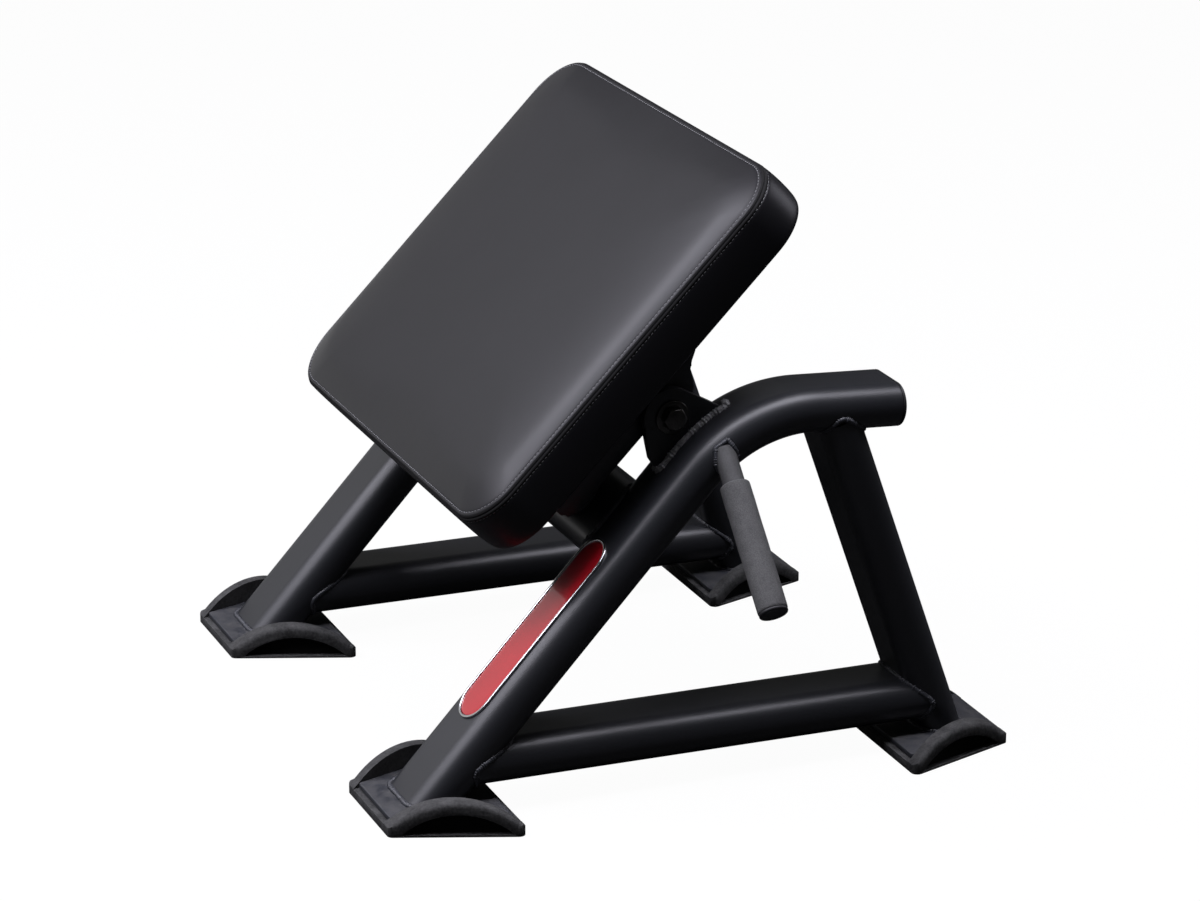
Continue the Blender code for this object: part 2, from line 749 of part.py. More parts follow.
def make_carrier_tubes():
    """Two rectangular tubes between the side plates, drilled for the board's bolts."""
    coat = frame_coat()
    steel = bolt_steel()
    half = LUG_IN - FIT
    for place, (low, high), tall in (
        ("front", CARRIER_FRONT_S, CARRIER_FRONT_TALL), ("rear", CARRIER_REAR_S, CARRIER_REAR_TALL),
    ):
        bottom = CARRIER_TOP - tall
        outside = [(low, bottom), (high, bottom), (high, CARRIER_TOP), (low, CARRIER_TOP)]
        w = CARRIER_WALL
        floor, ceiling = bottom + w, CARRIER_TOP - w
        inside = [(low + w, floor), (high - w, floor), (high - w, ceiling), (low + w, ceiling)]
        loops = [rounded(outside, 1.6 * w, 3), rounded(inside, 0.8 * w, 2)]
        tube = slab(f"carrier_tube_{place}", loops, -half, half)
        placed(tube, pad_axes())
        middle = (low + high) / 2
        for side, sign in SIDES:
            spot = pad_face_axes()
            spot = spot @ Matrix.Translation((sign * BOARD_BOLT_U, middle, 0.0))
            drill = turned("drill", [
                (0.0, CARRIER_TOP + 0.01), (BOARD_BOLT_D / 2 + FIT, CARRIER_TOP + 0.01),
                (BOARD_BOLT_D / 2 + FIT, bottom - 0.01), (0.0, bottom - 0.01),
            ], 24, spot, tools)
            cut(tube, drill)
            drop(drill)
            under = bottom - FIT
            head = [hexagon(BOARD_BOLT_HEX)]
            bolt = slab(f"board_bolt_{place}_{side}", head, under - BOARD_BOLT_HEAD, under)
            shank = turned("shank", [
                (0.0, BOARD_LOW + BOARD_BOLT_IN), (BOARD_BOLT_D / 2, BOARD_LOW + BOARD_BOLT_IN),
                (BOARD_BOLT_D / 2, under - 0.001), (0.0, under - 0.001),
            ], 24, Matrix(), tools)
            cut(bolt, shank, "UNION")
            drop(shank)
            finish(placed(bolt, spot), steel)
        finish(tube, coat)


def make_board():
    """The plywood board under the cushion, drilled for the four bolts."""
    w = PAD_WIDE / 2 - BOARD_INSET
    h = PAD_LONG / 2 - BOARD_INSET
    loops = [rounded([(-w, -h), (w, -h), (w, h), (-w, h)], BOARD_CORNER, 8)]
    for low, high in (CARRIER_FRONT_S, CARRIER_REAR_S):
        for sign in (1, -1):
            loops.append(circle(BOARD_BOLT_D / 2 + FIT, 24, sign * BOARD_BOLT_U, (low + high) / 2))
    board = slab("pad_board", loops, BOARD_LOW, BOARD_TOP)
    finish(placed(board, pad_face_axes()), pad_plywood())


def make_cushion():
    """Boxed cushion: soft crown, sides a little full, drawn in where the cover is turned under."""
    w = PAD_WIDE / 2
    h = PAD_LONG / 2
    low = CUSHION_LOW
    # (inset from the seam line, height)
    stations = [(4.5 * PAD_TUCK, low), (PAD_TUCK, low), (0.91 * PAD_TURN, low)]
    stations += [(0.22 * PAD_TURN, low + 0.29 * PAD_TURN), (0.0, low + PAD_TURN)]
    stations += [(-PAD_BULGE, low + 0.35 * PAD_BOXING), (-PAD_BULGE, low + 0.635 * PAD_BOXING)]
    stations += [(0.0, low + 0.92 * PAD_BOXING), (0.18 * PAD_TURN, -0.11 * PAD_TURN)]
    crown = ((0.021, 0.16), (0.064, 0.38), (0.143, 0.58), (0.286, 0.78), (0.571, 0.91), (1.0, 1.0))
    for inset, rise in crown:
        stations.append((inset * PAD_CROWN_IN, rise * PAD_CROWN))
    rings = []
    for inset, n in stations:
        a, b = w - inset, h - inset
        r = max(PAD_CORNER - inset, 0.012)
        corners = rounded([(-a, -b), (a, -b), (a, b), (-a, b)], r, 7)
        rings.append([(x, y, n) for x, y in split_sides(corners, 8)])
    cushion = lofted("pad_cushion", rings)
    finish(placed(cushion, pad_face_axes()), pad_vinyl(), 75.0)


def split_sides(corners, per_corner):
    """Adds points on the straight sides between the rounded corners."""
    loop = []
    for i, point in enumerate(corners):
        loop.append(point)
        if i % per_corner == per_corner - 1:
            after = Vector(corners[(i + 1) % len(corners)])
            for part in (0.25, 0.5, 0.75):
                loop.append(tuple(Vector(point).lerp(after, part)))
    return loop


def make_buffers():
    """Rubber buffers on steel seats on the cross tube, cut to meet the carrier's front tube."""
    rubber = buffer_rubber()
    coat = frame_coat()
    u = FRAME_HALF - BUFFER_INBOARD
    face = Vector((u, LEG_FOOT_Y, 0.0)) + SLOPE * CROSS_ALONG_LEG + OFF_LEG * (TUBE_THIN / 2)
    stand = axes(ACROSS, SLOPE, OFF_LEG, face)
    profile = ring_profile(SEAT_D / 2, SEAT_BORE / 2, FIT, FIT + SEAT_THICK)
    seat = turned("buffer_seat_right", profile, 32, stand)
    both(seat, coat)
    low = 2 * FIT + SEAT_THICK
    r = BUFFER_D / 2
    lip = BUFFER_LIP
    buffer = turned("buffer_right", [
        (0.0, BUFFER_FULL), (r, BUFFER_FULL), (r, low + 2 * lip),
        (r + lip, low + lip), (r + lip, low), (0.0, low),
    ], 32, stand)
    contact = CARRIER_TOP - CARRIER_FRONT_TALL - FIT
    r = CUT_PAST
    loop = [(-r, -r), (r, -r), (r, r), (-r, r)]
    above = placed(slab("above_buffer", [loop], contact, contact + r, tools), pad_face_axes())
    cut(buffer, above)
    drop(above)
    both(buffer, rubber)


def make_pegs(main_grown):
    """Band pegs: a bare bar out of the main tube, a grip sleeve on it and a plug in its end."""
    out = Vector((math.cos(PEG_DOWN), 0.0, -math.sin(PEG_DOWN)))
    at = Vector((FRAME_HALF + TUBE_WIDE / 2 - PEG_SUNK, CORNER[0] - PEG_AHEAD, CORNER[1] - PEG_UNDER))
    root = axes(Vector((0, 1, 0)), out.cross(Vector((0, 1, 0))), out, at)
    sleeve_end = PEG_BARE + PEG_SLEEVE_LONG
    bar_r = PEG_BAR_D / 2
    bore_r = bar_r - PEG_BAR_WALL
    bar = turned("peg_bar_right", ring_profile(bar_r, bore_r, -PEG_IN, sleeve_end), 32, root)
    cut(bar, main_grown)
    both(bar, frame_coat())
    sleeve = turned("peg_sleeve_right", ring_profile(
        PEG_SLEEVE_D / 2, bar_r + FIT, PEG_BARE, sleeve_end, 0.0010), 32, root)
    both(sleeve, grip_sleeve())
    cap_low = sleeve_end + FIT
    plug = turned("peg_plug_right", [
        (0.0, cap_low + PEG_PLUG_THICK), (PEG_SLEEVE_D / 2 - 0.0022, cap_low + PEG_PLUG_THICK),
        (PEG_SLEEVE_D / 2 - 0.0006, cap_low + PEG_PLUG_THICK - 0.0014), (PEG_SLEEVE_D / 2 - 0.0006, cap_low),
        (bore_r - FIT, cap_low), (bore_r - FIT, cap_low - PEG_PLUG_SPIGOT), (0.0, cap_low - PEG_PLUG_SPIGOT),
    ], 32, root)
    both(plug, black_plastic())


def make_name_plate():
    """A raised rim with a red inlay, bare, on the right leg's front face."""
    middle = (PLATE_FROM + PLATE_TO) / 2
    face = Vector((FRAME_HALF, LEG_FOOT_Y, 0.0)) + SLOPE * middle + OFF_LEG * (TUBE_THIN / 2 + FIT)
    at = axes(ACROSS, SLOPE, OFF_LEG, face)
    long = PLATE_TO - PLATE_FROM
    outside = flat_oval(long, PLATE_WIDE, 16)
    opening = flat_oval(long - 2 * PLATE_RIM, PLATE_WIDE - 2 * PLATE_RIM, 16)
    rim = slab("name_plate_rim", [outside, opening], 0.0, PLATE_RIM_TALL)
    finish(placed(rim, at), plate_silver())
    gap = PLATE_RIM + FIT
    inlay_loop = flat_oval(long - 2 * gap, PLATE_WIDE - 2 * gap, 16)
    inlay = slab("name_plate_inlay", [inlay_loop], 0.0, PLATE_INLAY_TALL)
    finish(placed(inlay, at), plate_red())


def add_pad_pivot():
    """An empty on the pad's axis, with the pad's pieces under it."""
    pivot = bpy.data.objects.new("pad_pivot", None)
    bench.objects.link(pivot)
    pivot.location = (0.0, PIVOT_Y, PIVOT_Z)
    bpy.context.view_layer.update()
    moving = ("pad_", "carrier_tube", "board_bolt", "pivot_bush")
    for obj in bench.objects:
        if obj.type == "MESH" and obj.name.startswith(moving):
            obj.parent = pivot
            obj.matrix_parent_inverse = pivot.matrix_world.inverted()


def main():
    start()
    main_grown = make_frame_tubes()
    make_end_caps()
    make_feet()
    make_brackets(main_grown)
    make_pivots()
    make_side_plates()
    make_carrier_tubes()
    make_board()
    make_cushion()
    make_buffers()
    make_pegs(main_grown)
    make_name_plate()
    drop(main_grown)
    add_pad_pivot()


main()
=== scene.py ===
from math import cos, pi, radians, sin, tan
from typing import NamedTuple

import bmesh
import bpy
from mathutils import Matrix, Vector
from mathutils.bvhtree import BVHTree


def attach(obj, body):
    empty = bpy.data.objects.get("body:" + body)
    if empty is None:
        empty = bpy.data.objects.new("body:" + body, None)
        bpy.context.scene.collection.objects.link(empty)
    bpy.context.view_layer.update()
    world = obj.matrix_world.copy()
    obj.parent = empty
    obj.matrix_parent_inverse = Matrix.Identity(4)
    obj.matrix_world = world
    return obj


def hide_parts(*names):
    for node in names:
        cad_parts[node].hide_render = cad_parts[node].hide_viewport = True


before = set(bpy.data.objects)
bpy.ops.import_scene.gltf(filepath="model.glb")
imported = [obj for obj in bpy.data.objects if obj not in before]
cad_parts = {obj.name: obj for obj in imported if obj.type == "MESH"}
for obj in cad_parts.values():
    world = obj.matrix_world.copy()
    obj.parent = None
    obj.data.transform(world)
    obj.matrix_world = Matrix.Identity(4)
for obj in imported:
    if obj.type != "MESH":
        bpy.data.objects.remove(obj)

bl_info = {
    "name": "Hip Thrust Bench",
    "version": (1, 0, 0),
    "blender": (4, 5, 0),
    "location": "3D View > Sidebar > Bench",
    "description": "Dresses a hip thrust bench: oval side frames, rubber feet, pegs and a sewn tilting pad",
    "category": "Add Mesh",
}


def leaning(angle):
    """The directions along and off a line that rises to the rear by an angle."""
    return Vector((0.0, cos(angle), sin(angle))), Vector((0.0, -sin(angle), cos(angle)))


# Places that the solids hold, in metres and radians. The bench stands on z = 0 with its front to -y.
ACROSS, BACK, UP = Vector((1.0, 0.0, 0.0)), Vector((0.0, 1.0, 0.0)), Vector((0.0, 0.0, 1.0))
SIDES = ("right", "left")
TUBE_WIDE, TUBE_THIN, FRAME_HALF, BASE_TOP = 0.100, 0.050, 0.2921, 0.0163
SIDE = ACROSS * FRAME_HALF
LEG_FOOT_Y, LEG_ANGLE, CORNER_HEIGHT = -0.32145, radians(47.55), 0.4196
SLOPE, OFF_LEG = leaning(LEG_ANGLE)
LEG_FOOT = Vector((0.0, LEG_FOOT_Y, 0.0))
CORNER = Vector((0.0, LEG_FOOT_Y + CORNER_HEIGHT / tan(LEG_ANGLE), CORNER_HEIGHT))
TOP_SLOPE, TOP_LENGTH, BEND_RADIUS = radians(2.91), 0.1815, 0.172
ALONG_TOP, OFF_TOP = leaning(-TOP_SLOPE)
REAR_FOOT_Y, REAR_TILT, REAR_TOP = 0.31405, radians(19.40), 0.402
OFF_REAR, UP_REAR = leaning(REAR_TILT)
LOWER_HEIGHT = 0.0542
CROSS_MIDDLE = LEG_FOOT + SLOPE * 0.3865
PIVOT = CORNER - Vector((0.0, 0.07562, 0.0036))
BRACKET_IN, BRACKET_OUT, BRACKET_LONG = 0.2760, 0.2880, 0.0805
PAD_PITCH, PAD_SIDE_PLATE = radians(45.64), 0.2640
UP_PAD, OFF_PAD = leaning(PAD_PITCH)
PAD_MIDDLE = PIVOT + UP_PAD * 0.01810 + OFF_PAD * 0.11079
PEG_DROOP = radians(45.4)
PEG_OUT = Vector((cos(PEG_DROOP), 0.0, -sin(PEG_DROOP)))
PEG_ACROSS = PEG_OUT.cross(BACK)
PEG_ROOT = Vector((FRAME_HALF + TUBE_WIDE / 2 - 0.0002, CORNER.y - 0.03287, CORNER.z - 0.0416))
SLEEVE_START, SLEEVE_END, BAR_RADIUS, SLEEVE_RADIUS = 0.032, 0.186, 0.0125, 0.0170


def length(name, description, default):
    return bpy.props.FloatProperty(name=name, description=description, default=default, unit="LENGTH")


def paint(name, description, *default):
    return bpy.props.FloatVectorProperty(
        name=name, description=description, default=default, subtype="COLOR", size=3)


class BenchSizes(bpy.types.PropertyGroup):
    """Sizes of the details that the solids don't hold."""

    bead_radius: length("Bead Radius", "Half the height of a weld bead", 0.0036)
    ripple_pitch: length("Ripple Pitch", "Distance between two ripples of a weld", 0.0025)
    stitch_long: length("Stitch Length", "Length of thread that shows in one stitch", 0.0037)
    stitch_pitch: length("Stitch Pitch", "Distance from one stitch to the next", 0.0052)
    thread: length("Thread", "Thickness of the sewing thread", 0.0012)
    cover_swell: length("Cover Swell", "Most that the stuffed cover may swell", 0.0024)
    edge_soft: length("Edge Softness", "Rounding of cut plate edges", 0.0009)


class BenchColours(bpy.types.PropertyGroup):
    """Colours of the finishes."""

    coat: paint("Powder Coat", "Colour of the painted frame", 0.0135, 0.0145, 0.0175)
    vinyl: paint("Vinyl", "Colour of the pad's cover", 0.0085, 0.0083, 0.0100)
    rubber: paint("Rubber", "Colour of the moulded feet", 0.050, 0.050, 0.049)
    thread: paint("Thread", "Colour of the sewing thread", 0.160, 0.160, 0.165)
    plate: paint("Name Plate", "Colour of the bare enamelled plate", 0.500, 0.006, 0.016)


def tuned(thing, **settings):
    for name, value in settings.items():
        setattr(thing, name, value)
    return thing


# Nodes

def socket(tree, name, kind="NodeSocketFloat", value=None, out=False):
    made = tree.interface.new_socket(name=name, in_out="OUTPUT" if out else "INPUT", socket_type=kind)
    if value is not None:
        made.default_value = value
    return made


def fill(tree, node, inputs):
    """Sets a node's inputs, named by label or number. Each is linked to a socket or to all of a list, or is a value."""
    for spot, value in inputs.items():
        if isinstance(value, (bpy.types.NodeSocket, list)):
            for source in value if isinstance(value, list) else [value]:
                tree.links.new(source, node.inputs[spot])
        else:
            node.inputs[spot].default_value = value


def add(tree, kind, inputs=None, out=0, **settings):
    """One output, named by label or number, of a new node with its settings and inputs."""
    node = tuned(tree.nodes.new(kind), **settings)
    fill(tree, node, inputs or {})
    return node.outputs[out]


def maths(tree, operation, *values, clamp=False):
    """What one Math node makes of its values, each a number or a socket."""
    return add(tree, "ShaderNodeMath", dict(enumerate(values)), operation=operation, use_clamp=clamp)


def product(tree, first, *others, clamp=False):
    for value in others:
        first = maths(tree, "MULTIPLY", first, value, clamp=clamp and value is others[-1])
    return first


def noise(tree, scale, detail, rough, stretch=None):
    """Noise on object coordinates."""
    place = add(tree, "ShaderNodeTexCoord", out="Object")
    if stretch:
        place = add(tree, "ShaderNodeMapping", {"Vector": place, "Scale": stretch})
    inputs = {"Vector": place, "Scale": scale, "Detail": detail, "Roughness": rough}
    return add(tree, "ShaderNodeTexNoise", inputs, "Fac")


def spread(tree, value, low, high):
    """Stretches a value from low..high to 0..1."""
    return add(tree, "ShaderNodeMapRange", {"Value": value, "From Min": low, "From Max": high}, "Result")


def blended(tree, a, b, share, clamp=False):
    """Two values added up by share: none of b at 0 and none of a at 1."""
    kept = product(tree, a, maths(tree, "SUBTRACT", 1.0, share))
    return maths(tree, "ADD", kept, product(tree, b, share), clamp=clamp)


def blotches(tree, given):
    """Broad and fine colour variation together."""
    broad = spread(tree, noise(tree, given["Broad Scale"], 4.0, 0.55), 0.34, 0.66)
    fine = spread(tree, noise(tree, given["Fine Scale"], 3.0, 0.65), 0.36, 0.64)
    return blended(tree, broad, fine, given["Fine Share"], clamp=True)


def grain(tree, given):
    """Height of a pebbled or pitted surface."""
    inputs = {"Vector": add(tree, "ShaderNodeTexCoord", out="Object"), "Scale": given["Cell Scale"]}
    cells = add(tree, "ShaderNodeTexVoronoi", inputs, "Distance", feature="SMOOTH_F1")
    return blended(tree, noise(tree, given["Noise Scale"], 4.0, 0.6), cells, given["Cell Share"])


def edge_wear(tree, given):
    """1 along rubbed outside edges, broken up by noise."""
    normals = {
        0: add(tree, "ShaderNodeBevel", {"Radius": given["Reach"]}, samples=4),
        1: add(tree, "ShaderNodeNewGeometry", out="Normal"),
    }
    alike = add(tree, "ShaderNodeVectorMath", normals, "Value", operation="DOT_PRODUCT")
    bent = spread(tree, maths(tree, "SUBTRACT", 1.0, alike), 0.015, 0.14)
    broken = spread(tree, noise(tree, given["Break Scale"], 5.0, 0.7), 0.44, 0.64)
    return product(tree, bent, broken, given["Amount"], clamp=True)


def settled_dust(tree, given):
    """1 where fine dust has settled on faces that look up."""
    normal = add(tree, "ShaderNodeNewGeometry", out="Normal")
    up = spread(tree, add(tree, "ShaderNodeSeparateXYZ", {0: normal}, "Z"), 0.25, 1.0)
    patches = spread(tree, noise(tree, given["Patch Scale"], 6.0, 0.72), 0.38, 0.70)
    return product(tree, up, patches, given["Amount"], clamp=True)


def handling(tree, given):
    """Change of gloss from handling: soft patches with faint long rubs in them."""
    patches = noise(tree, given["Scale"], 5.0, 0.6)
    rubs = noise(tree, given["Scale"], 5.0, 0.7, (9.0, 1.2, 1.2))
    both = maths(tree, "ADD", product(tree, patches, 0.65), product(tree, rubs, 0.35))
    return product(tree, maths(tree, "SUBTRACT", both, 0.5), given["Spread"])


# Shared effects by name: what makes them, what they put out, and their inputs
EFFECTS = {
    "blotches": (blotches, "Value", {"Broad Scale": 9.0, "Fine Scale": 240.0, "Fine Share": 0.5}),
    "grain": (grain, "Height", {"Cell Scale": 900.0, "Noise Scale": 500.0, "Cell Share": 0.5}),
    "edge_wear": (edge_wear, "Mask", {"Reach": 0.0012, "Amount": 0.5, "Break Scale": 60.0}),
    "settled_dust": (settled_dust, "Mask", {"Amount": 0.3, "Patch Scale": 30.0}),
    "handling": (handling, "Value", {"Scale": 14.0, "Spread": 0.1}),
}


def shader_group(name):
    """The node group of a shared effect, made at its first use."""
    tree = bpy.data.node_groups.get(name)
    if tree:
        return tree
    make, result, inputs = EFFECTS[name]
    tree = bpy.data.node_groups.new(name, "ShaderNodeTree")
    for label, value in inputs.items():
        socket(tree, label, value=value)
    socket(tree, result, out=True)
    given = tree.nodes.new("NodeGroupInput").outputs
    fill(tree, tree.nodes.new("NodeGroupOutput"), {result: make(tree, given)})
    return tree


def effect(tree, name, values):
    """What a shared effect puts out in a material, with values in the order of its inputs."""
    return add(tree, "ShaderNodeGroup", dict(enumerate(values)), node_tree=shader_group(name))


def rgba(colour):
    """A colour with its alpha. A number is a grey, and a socket stays as it is."""
    if isinstance(colour, bpy.types.NodeSocket):
        return colour
    return (colour, colour, colour, 1.0) if isinstance(colour, float) else (*colour, 1.0)


def mixed(tree, factor, a, b):
    """Two colours mixed. Inputs 6 and 7 of the node are its colours, and output 2 is theirs."""
    return add(tree, "ShaderNodeMix", {"Factor": factor, 6: rgba(a), 7: rgba(b)}, 2, data_type="RGBA")


def tinted(colour, share):
    return tuple(min(1.0, c * share) for c in colour)


# Finishes

class Finish(NamedTuple):
    """A finish's slot in the record and the values of its shared effects."""

    slot: str
    colour: object  # a grey, a colour, or the name of one of BenchColours and how many times lighter than that
    rough: float  # roughness
    varied: float  # share by which the colour varies
    blotches: tuple  # broad scale, fine scale, share of the fine
    gloss: tuple  # scale of the handling patches, change of roughness
    grain: tuple  # cell scale, noise scale, share of the cells, bump strength, bump distance
    wear: tuple = ()  # reach, amount, break scale and colour of rubbed edges
    dust: tuple = ()  # amount, patch scale and colour of settled dust
    dark: str = ""  # mesh attribute of 0 to 1 where shade is painted: the colour goes deep and dull
    shader: dict = {}  # values of the shader's own sockets


def specular(level):
    return {"Specular IOR Level": level}


METAL, COAT = {"Metallic": 1.0}, "charcoal_powder_coat"
FINISHES = {
    "powder_coat": Finish(
        COAT, ("coat", 1.0), 0.39, 0.12, (6, 420, 0.6), (9, 0.10), (1500, 900, 0.4, 0.22, 0.00012),
        (0.0011, 0.45, 45, (0.060, 0.062, 0.066)), (0.04, 18, 0.05), shader=specular(0.62)),
    # The frame's coat over a rough bead, thin on its ripples
    "weld_coat": Finish(
        COAT, ("coat", 2.4), 0.40, 0.75, (160, 900, 0.5), (120, 0.25), (900, 600, 0.4, 0.8, 0.0004),
        (0.0012, 0.5, 260, 0.16), (0.45, 260, 0.16), shader=specular(0.5)),
    # The brackets' coarse beads, thinly coated and scuffed pale. Painted light: their colour is raised further to make
    # up for the pad's shade over them.
    "bare_bead": Finish(
        COAT, (0.240, 0.240, 0.245), 0.50, 0.85, (260, 1100, 0.5), (120, 0.25), (900, 500, 0.4, 1.0, 0.0006),
        (0.0014, 0.8, 420, 0.40), (0.7, 300, 0.36), shader=specular(0.5)),
    # The frame's coat low down in the feet, where dust lies
    "dusty_coat": Finish(
        COAT, ("coat", 2.0), 0.55, 0.3, (22, 300, 0.5), (40, 0.2), (900, 500, 0.4, 0.5, 0.0003),
        (0.0011, 0.5, 90, 0.10), (0.90, 55, (0.078, 0.077, 0.076)), shader=specular(0.4)),
    # The pegs' coat, rubbed dull by the bands. Painted light: its colour is about five times the frame coat's, for
    # light on the bars.
    "peg_coat": Finish(
        COAT, 0.069, 0.62, 0.25, (40, 500, 0.5), (60, 0.2), (1200, 700, 0.4, 0.5, 0.0002), (0.0011, 0.4, 90, 0.10),
        (0.12, 60, 0.10), shader=specular(0.4)),
    # The cover's vinyl, with painted shade where its mesh marks it
    "pad_vinyl": Finish(
        "pad_vinyl", ("vinyl", 1.0), 0.39, 0.10, (5, 180, 0.35), (7, 0.12), (1150, 420, 0.65, 0.35, 0.00016),
        dust=(0.03, 11, 0.05), dark="hollow", shader=specular(0.31)),
    # The feet's rubber, with painted shade where its mesh marks it
    "foot_rubber": Finish(
        "foot_rubber", ("rubber", 1.0), 0.78, 0.60, (55, 330, 0.45), (60, 0.16), (420, 260, 0.35, 0.75, 0.0007),
        (0.0018, 0.8, 120, (0.120, 0.120, 0.117)), (0.15, 70, (0.120, 0.120, 0.117)), "hollow", specular(0.25)),
    "grip_sleeve": Finish(
        "grip_sleeve", (0.100, 0.100, 0.099), 0.80, 0.32, (70, 700, 0.65), (50, 0.12), (1300, 700, 0.35, 0.9, 0.0005),
        (0.0012, 0.5, 150, 0.10), (0.15, 60, 0.12), shader=specular(0.35)),
    "buffer_rubber": Finish(
        "buffer_rubber", 0.014, 0.66, 0.35, (40, 400, 0.5), (30, 0.14), (700, 400, 0.3, 0.4, 0.0003),
        (0.001, 0.5, 90, 0.05), shader=specular(0.35)),
    "black_plastic": Finish(
        "black_plastic", (0.020, 0.020, 0.022), 0.46, 0.15, (12, 500, 0.5), (20, 0.12),
        (1700, 1100, 0.5, 0.28, 0.0001), (0.0008, 0.4, 90, 0.05), shader=specular(0.35)),
    "bolt_steel": Finish(
        "dark_bolt_steel", (0.085, 0.083, 0.078), 0.22, 0.35, (80, 600, 0.5), (120, 0.22),
        (2200, 1500, 0.3, 0.25, 0.00008), (0.0008, 0.8, 200, (0.34, 0.33, 0.31)), shader=METAL),
    "bush_bronze": Finish(
        "bush_bronze", (0.420, 0.250, 0.110), 0.40, 0.2, (60, 500, 0.5), (80, 0.2), (2000, 1300, 0.3, 0.2, 0.00008),
        shader=METAL),
    "plate_silver": Finish(
        "plate_silver", (0.72, 0.72, 0.73), 0.20, 0.06, (30, 500, 0.5), (60, 0.16), (2500, 1800, 0.2, 0.1, 0.00005),
        shader=METAL),
    "plate_enamel": Finish(
        "plate_red", ("plate", 1.0), 0.30, 0.10, (14, 300, 0.35), (20, 0.10), (700, 300, 0.2, 0.08, 0.0001),
        shader={"Coat Weight": 1.0, "Coat Roughness": 0.06, "Coat IOR": 1.65}),
    "painted_plywood": Finish(
        "painted_plywood", (0.024, 0.023, 0.022), 0.74, 0.35, (22, 160, 0.5), (20, 0.2),
        (500, 220, 0.15, 0.55, 0.0004), (0.0012, 0.7, 70, (0.16, 0.12, 0.085))),
    "sewing_thread": Finish(
        "pad_vinyl", ("thread", 1.0), 0.42, 0.15, (90, 2400, 0.7), (60, 0.1), (3800, 2600, 0.4, 0.5, 0.0001),
        shader={"Sheen Weight": 0.2}),
}


def colour_of(look):
    if isinstance(look.colour, tuple) and isinstance(look.colour[0], str):
        name, share = look.colour
        return tinted(getattr(bpy.context.scene.bench_colours, name), share)
    return rgba(look.colour)[:3]


def finish(name):
    """The material of a finish from the shared effects, made at its first use."""
    made = bpy.data.materials.get(name + "_finish")
    if made:
        return made
    look = FINISHES[name]
    colour = colour_of(look)
    made = bpy.data.materials.new(name + "_finish")
    made.use_nodes = True
    made.diffuse_color = rgba(colour)
    tree = made.node_tree
    darker, lighter = tinted(colour, 1.0 - look.varied), tinted(colour, 1.0 + look.varied)
    base = mixed(tree, effect(tree, "blotches", look.blotches), darker, lighter)
    rough = maths(tree, "ADD", look.rough, effect(tree, "handling", look.gloss), clamp=True)
    if look.wear:
        *values, rubbed = look.wear
        base = mixed(tree, effect(tree, "edge_wear", values), base, rubbed)
    if look.dust:
        *values, dust = look.dust
        mask = effect(tree, "settled_dust", values)
        base = mixed(tree, mask, base, dust)
        rough = maths(tree, "ADD", rough, product(tree, mask, 0.25), clamp=True)
    # Painted shade: where the mesh attribute is set, the colour falls to an eighth and the roughness rises
    if look.dark:
        deep = add(tree, "ShaderNodeAttribute", out="Fac", attribute_name=look.dark)
        base = mixed(tree, deep, base, tinted(colour, 0.12))
        rough = maths(tree, "ADD", rough, product(tree, deep, 0.38), clamp=True)
    *values, strength, distance = look.grain
    height = effect(tree, "grain", values)
    normal = add(tree, "ShaderNodeBump", {"Strength": strength, "Distance": distance, "Height": height})
    inputs = {"Base Color": base, "Roughness": rough, "Normal": normal, **look.shader}
    fill(tree, tree.nodes["Principled BSDF"], inputs)
    return made


# Pieces and meshes

def linked(name, data):
    """A new object in the scene."""
    made = bpy.data.objects.new(name, data)
    bpy.context.scene.collection.objects.link(made)
    return made


def held(name, mesh, body, look, replaced=(), angle=None):
    """A finished piece: its finish, its body and the nodes that it stands for."""
    piece = linked(name, mesh)
    mesh.name = name
    mesh.materials.clear()
    mesh.materials.append(finish(look))
    mesh.shade_smooth()
    if angle:
        mesh.set_sharp_from_angle(angle=radians(angle))
    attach(piece, body)
    if replaced:
        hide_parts(*replaced)
    return piece


def mirrored(mesh):
    """The same shape on the other side of the bench, still facing out."""
    other = mesh.copy()
    other.transform(Matrix.Scale(-1.0, 4, ACROSS))
    other.flip_normals()
    return other


def both_sides(name, shape, body, look, node=None, angle=None):
    """A finished piece on each side, from the shape of the right one. The side's name takes the place of {}."""
    for side, mesh in (("left", mirrored(shape)), ("right", shape)):
        held(name.format(side), mesh, body, look, (node.format(side),) if node else (), angle)


def saved(work, name):
    """A bmesh as a plain mesh; the bmesh goes."""
    mesh = bpy.data.meshes.new(name)
    work.to_mesh(mesh)
    work.free()
    return mesh


def evaluated(source):
    """The source's evaluated shape as a plain mesh; the source goes."""
    bpy.context.view_layer.update()
    depsgraph = bpy.context.evaluated_depsgraph_get()
    mesh = bpy.data.meshes.new_from_object(source.evaluated_get(depsgraph))
    bpy.data.objects.remove(source, do_unlink=True)
    return mesh


def skinned(work, rings, wrap=False):
    """Joins rings with the same number of points by bands of faces. With wrap the last ring joins the first."""
    rows = [[work.verts.new(point) for point in ring] for ring in rings]
    bands = []
    for low, high in zip(rows, rows[1:] + rows[:1] if wrap else rows[1:]):
        quads = zip(low, low[1:] + low[:1], high[1:] + high[:1], high)
        bands.append([work.faces.new(corners) for corners in quads])
    return rows, bands


def loft(rings, wrap=False):
    """A mesh skinned over rings, with flat ends unless it wraps."""
    work = bmesh.new()
    rows, bands = skinned(work, rings, wrap)
    if not wrap:
        work.faces.new(rows[0][::-1])
        work.faces.new(rows[-1])
    bmesh.ops.recalc_face_normals(work, faces=work.faces)
    return saved(work, "loft")


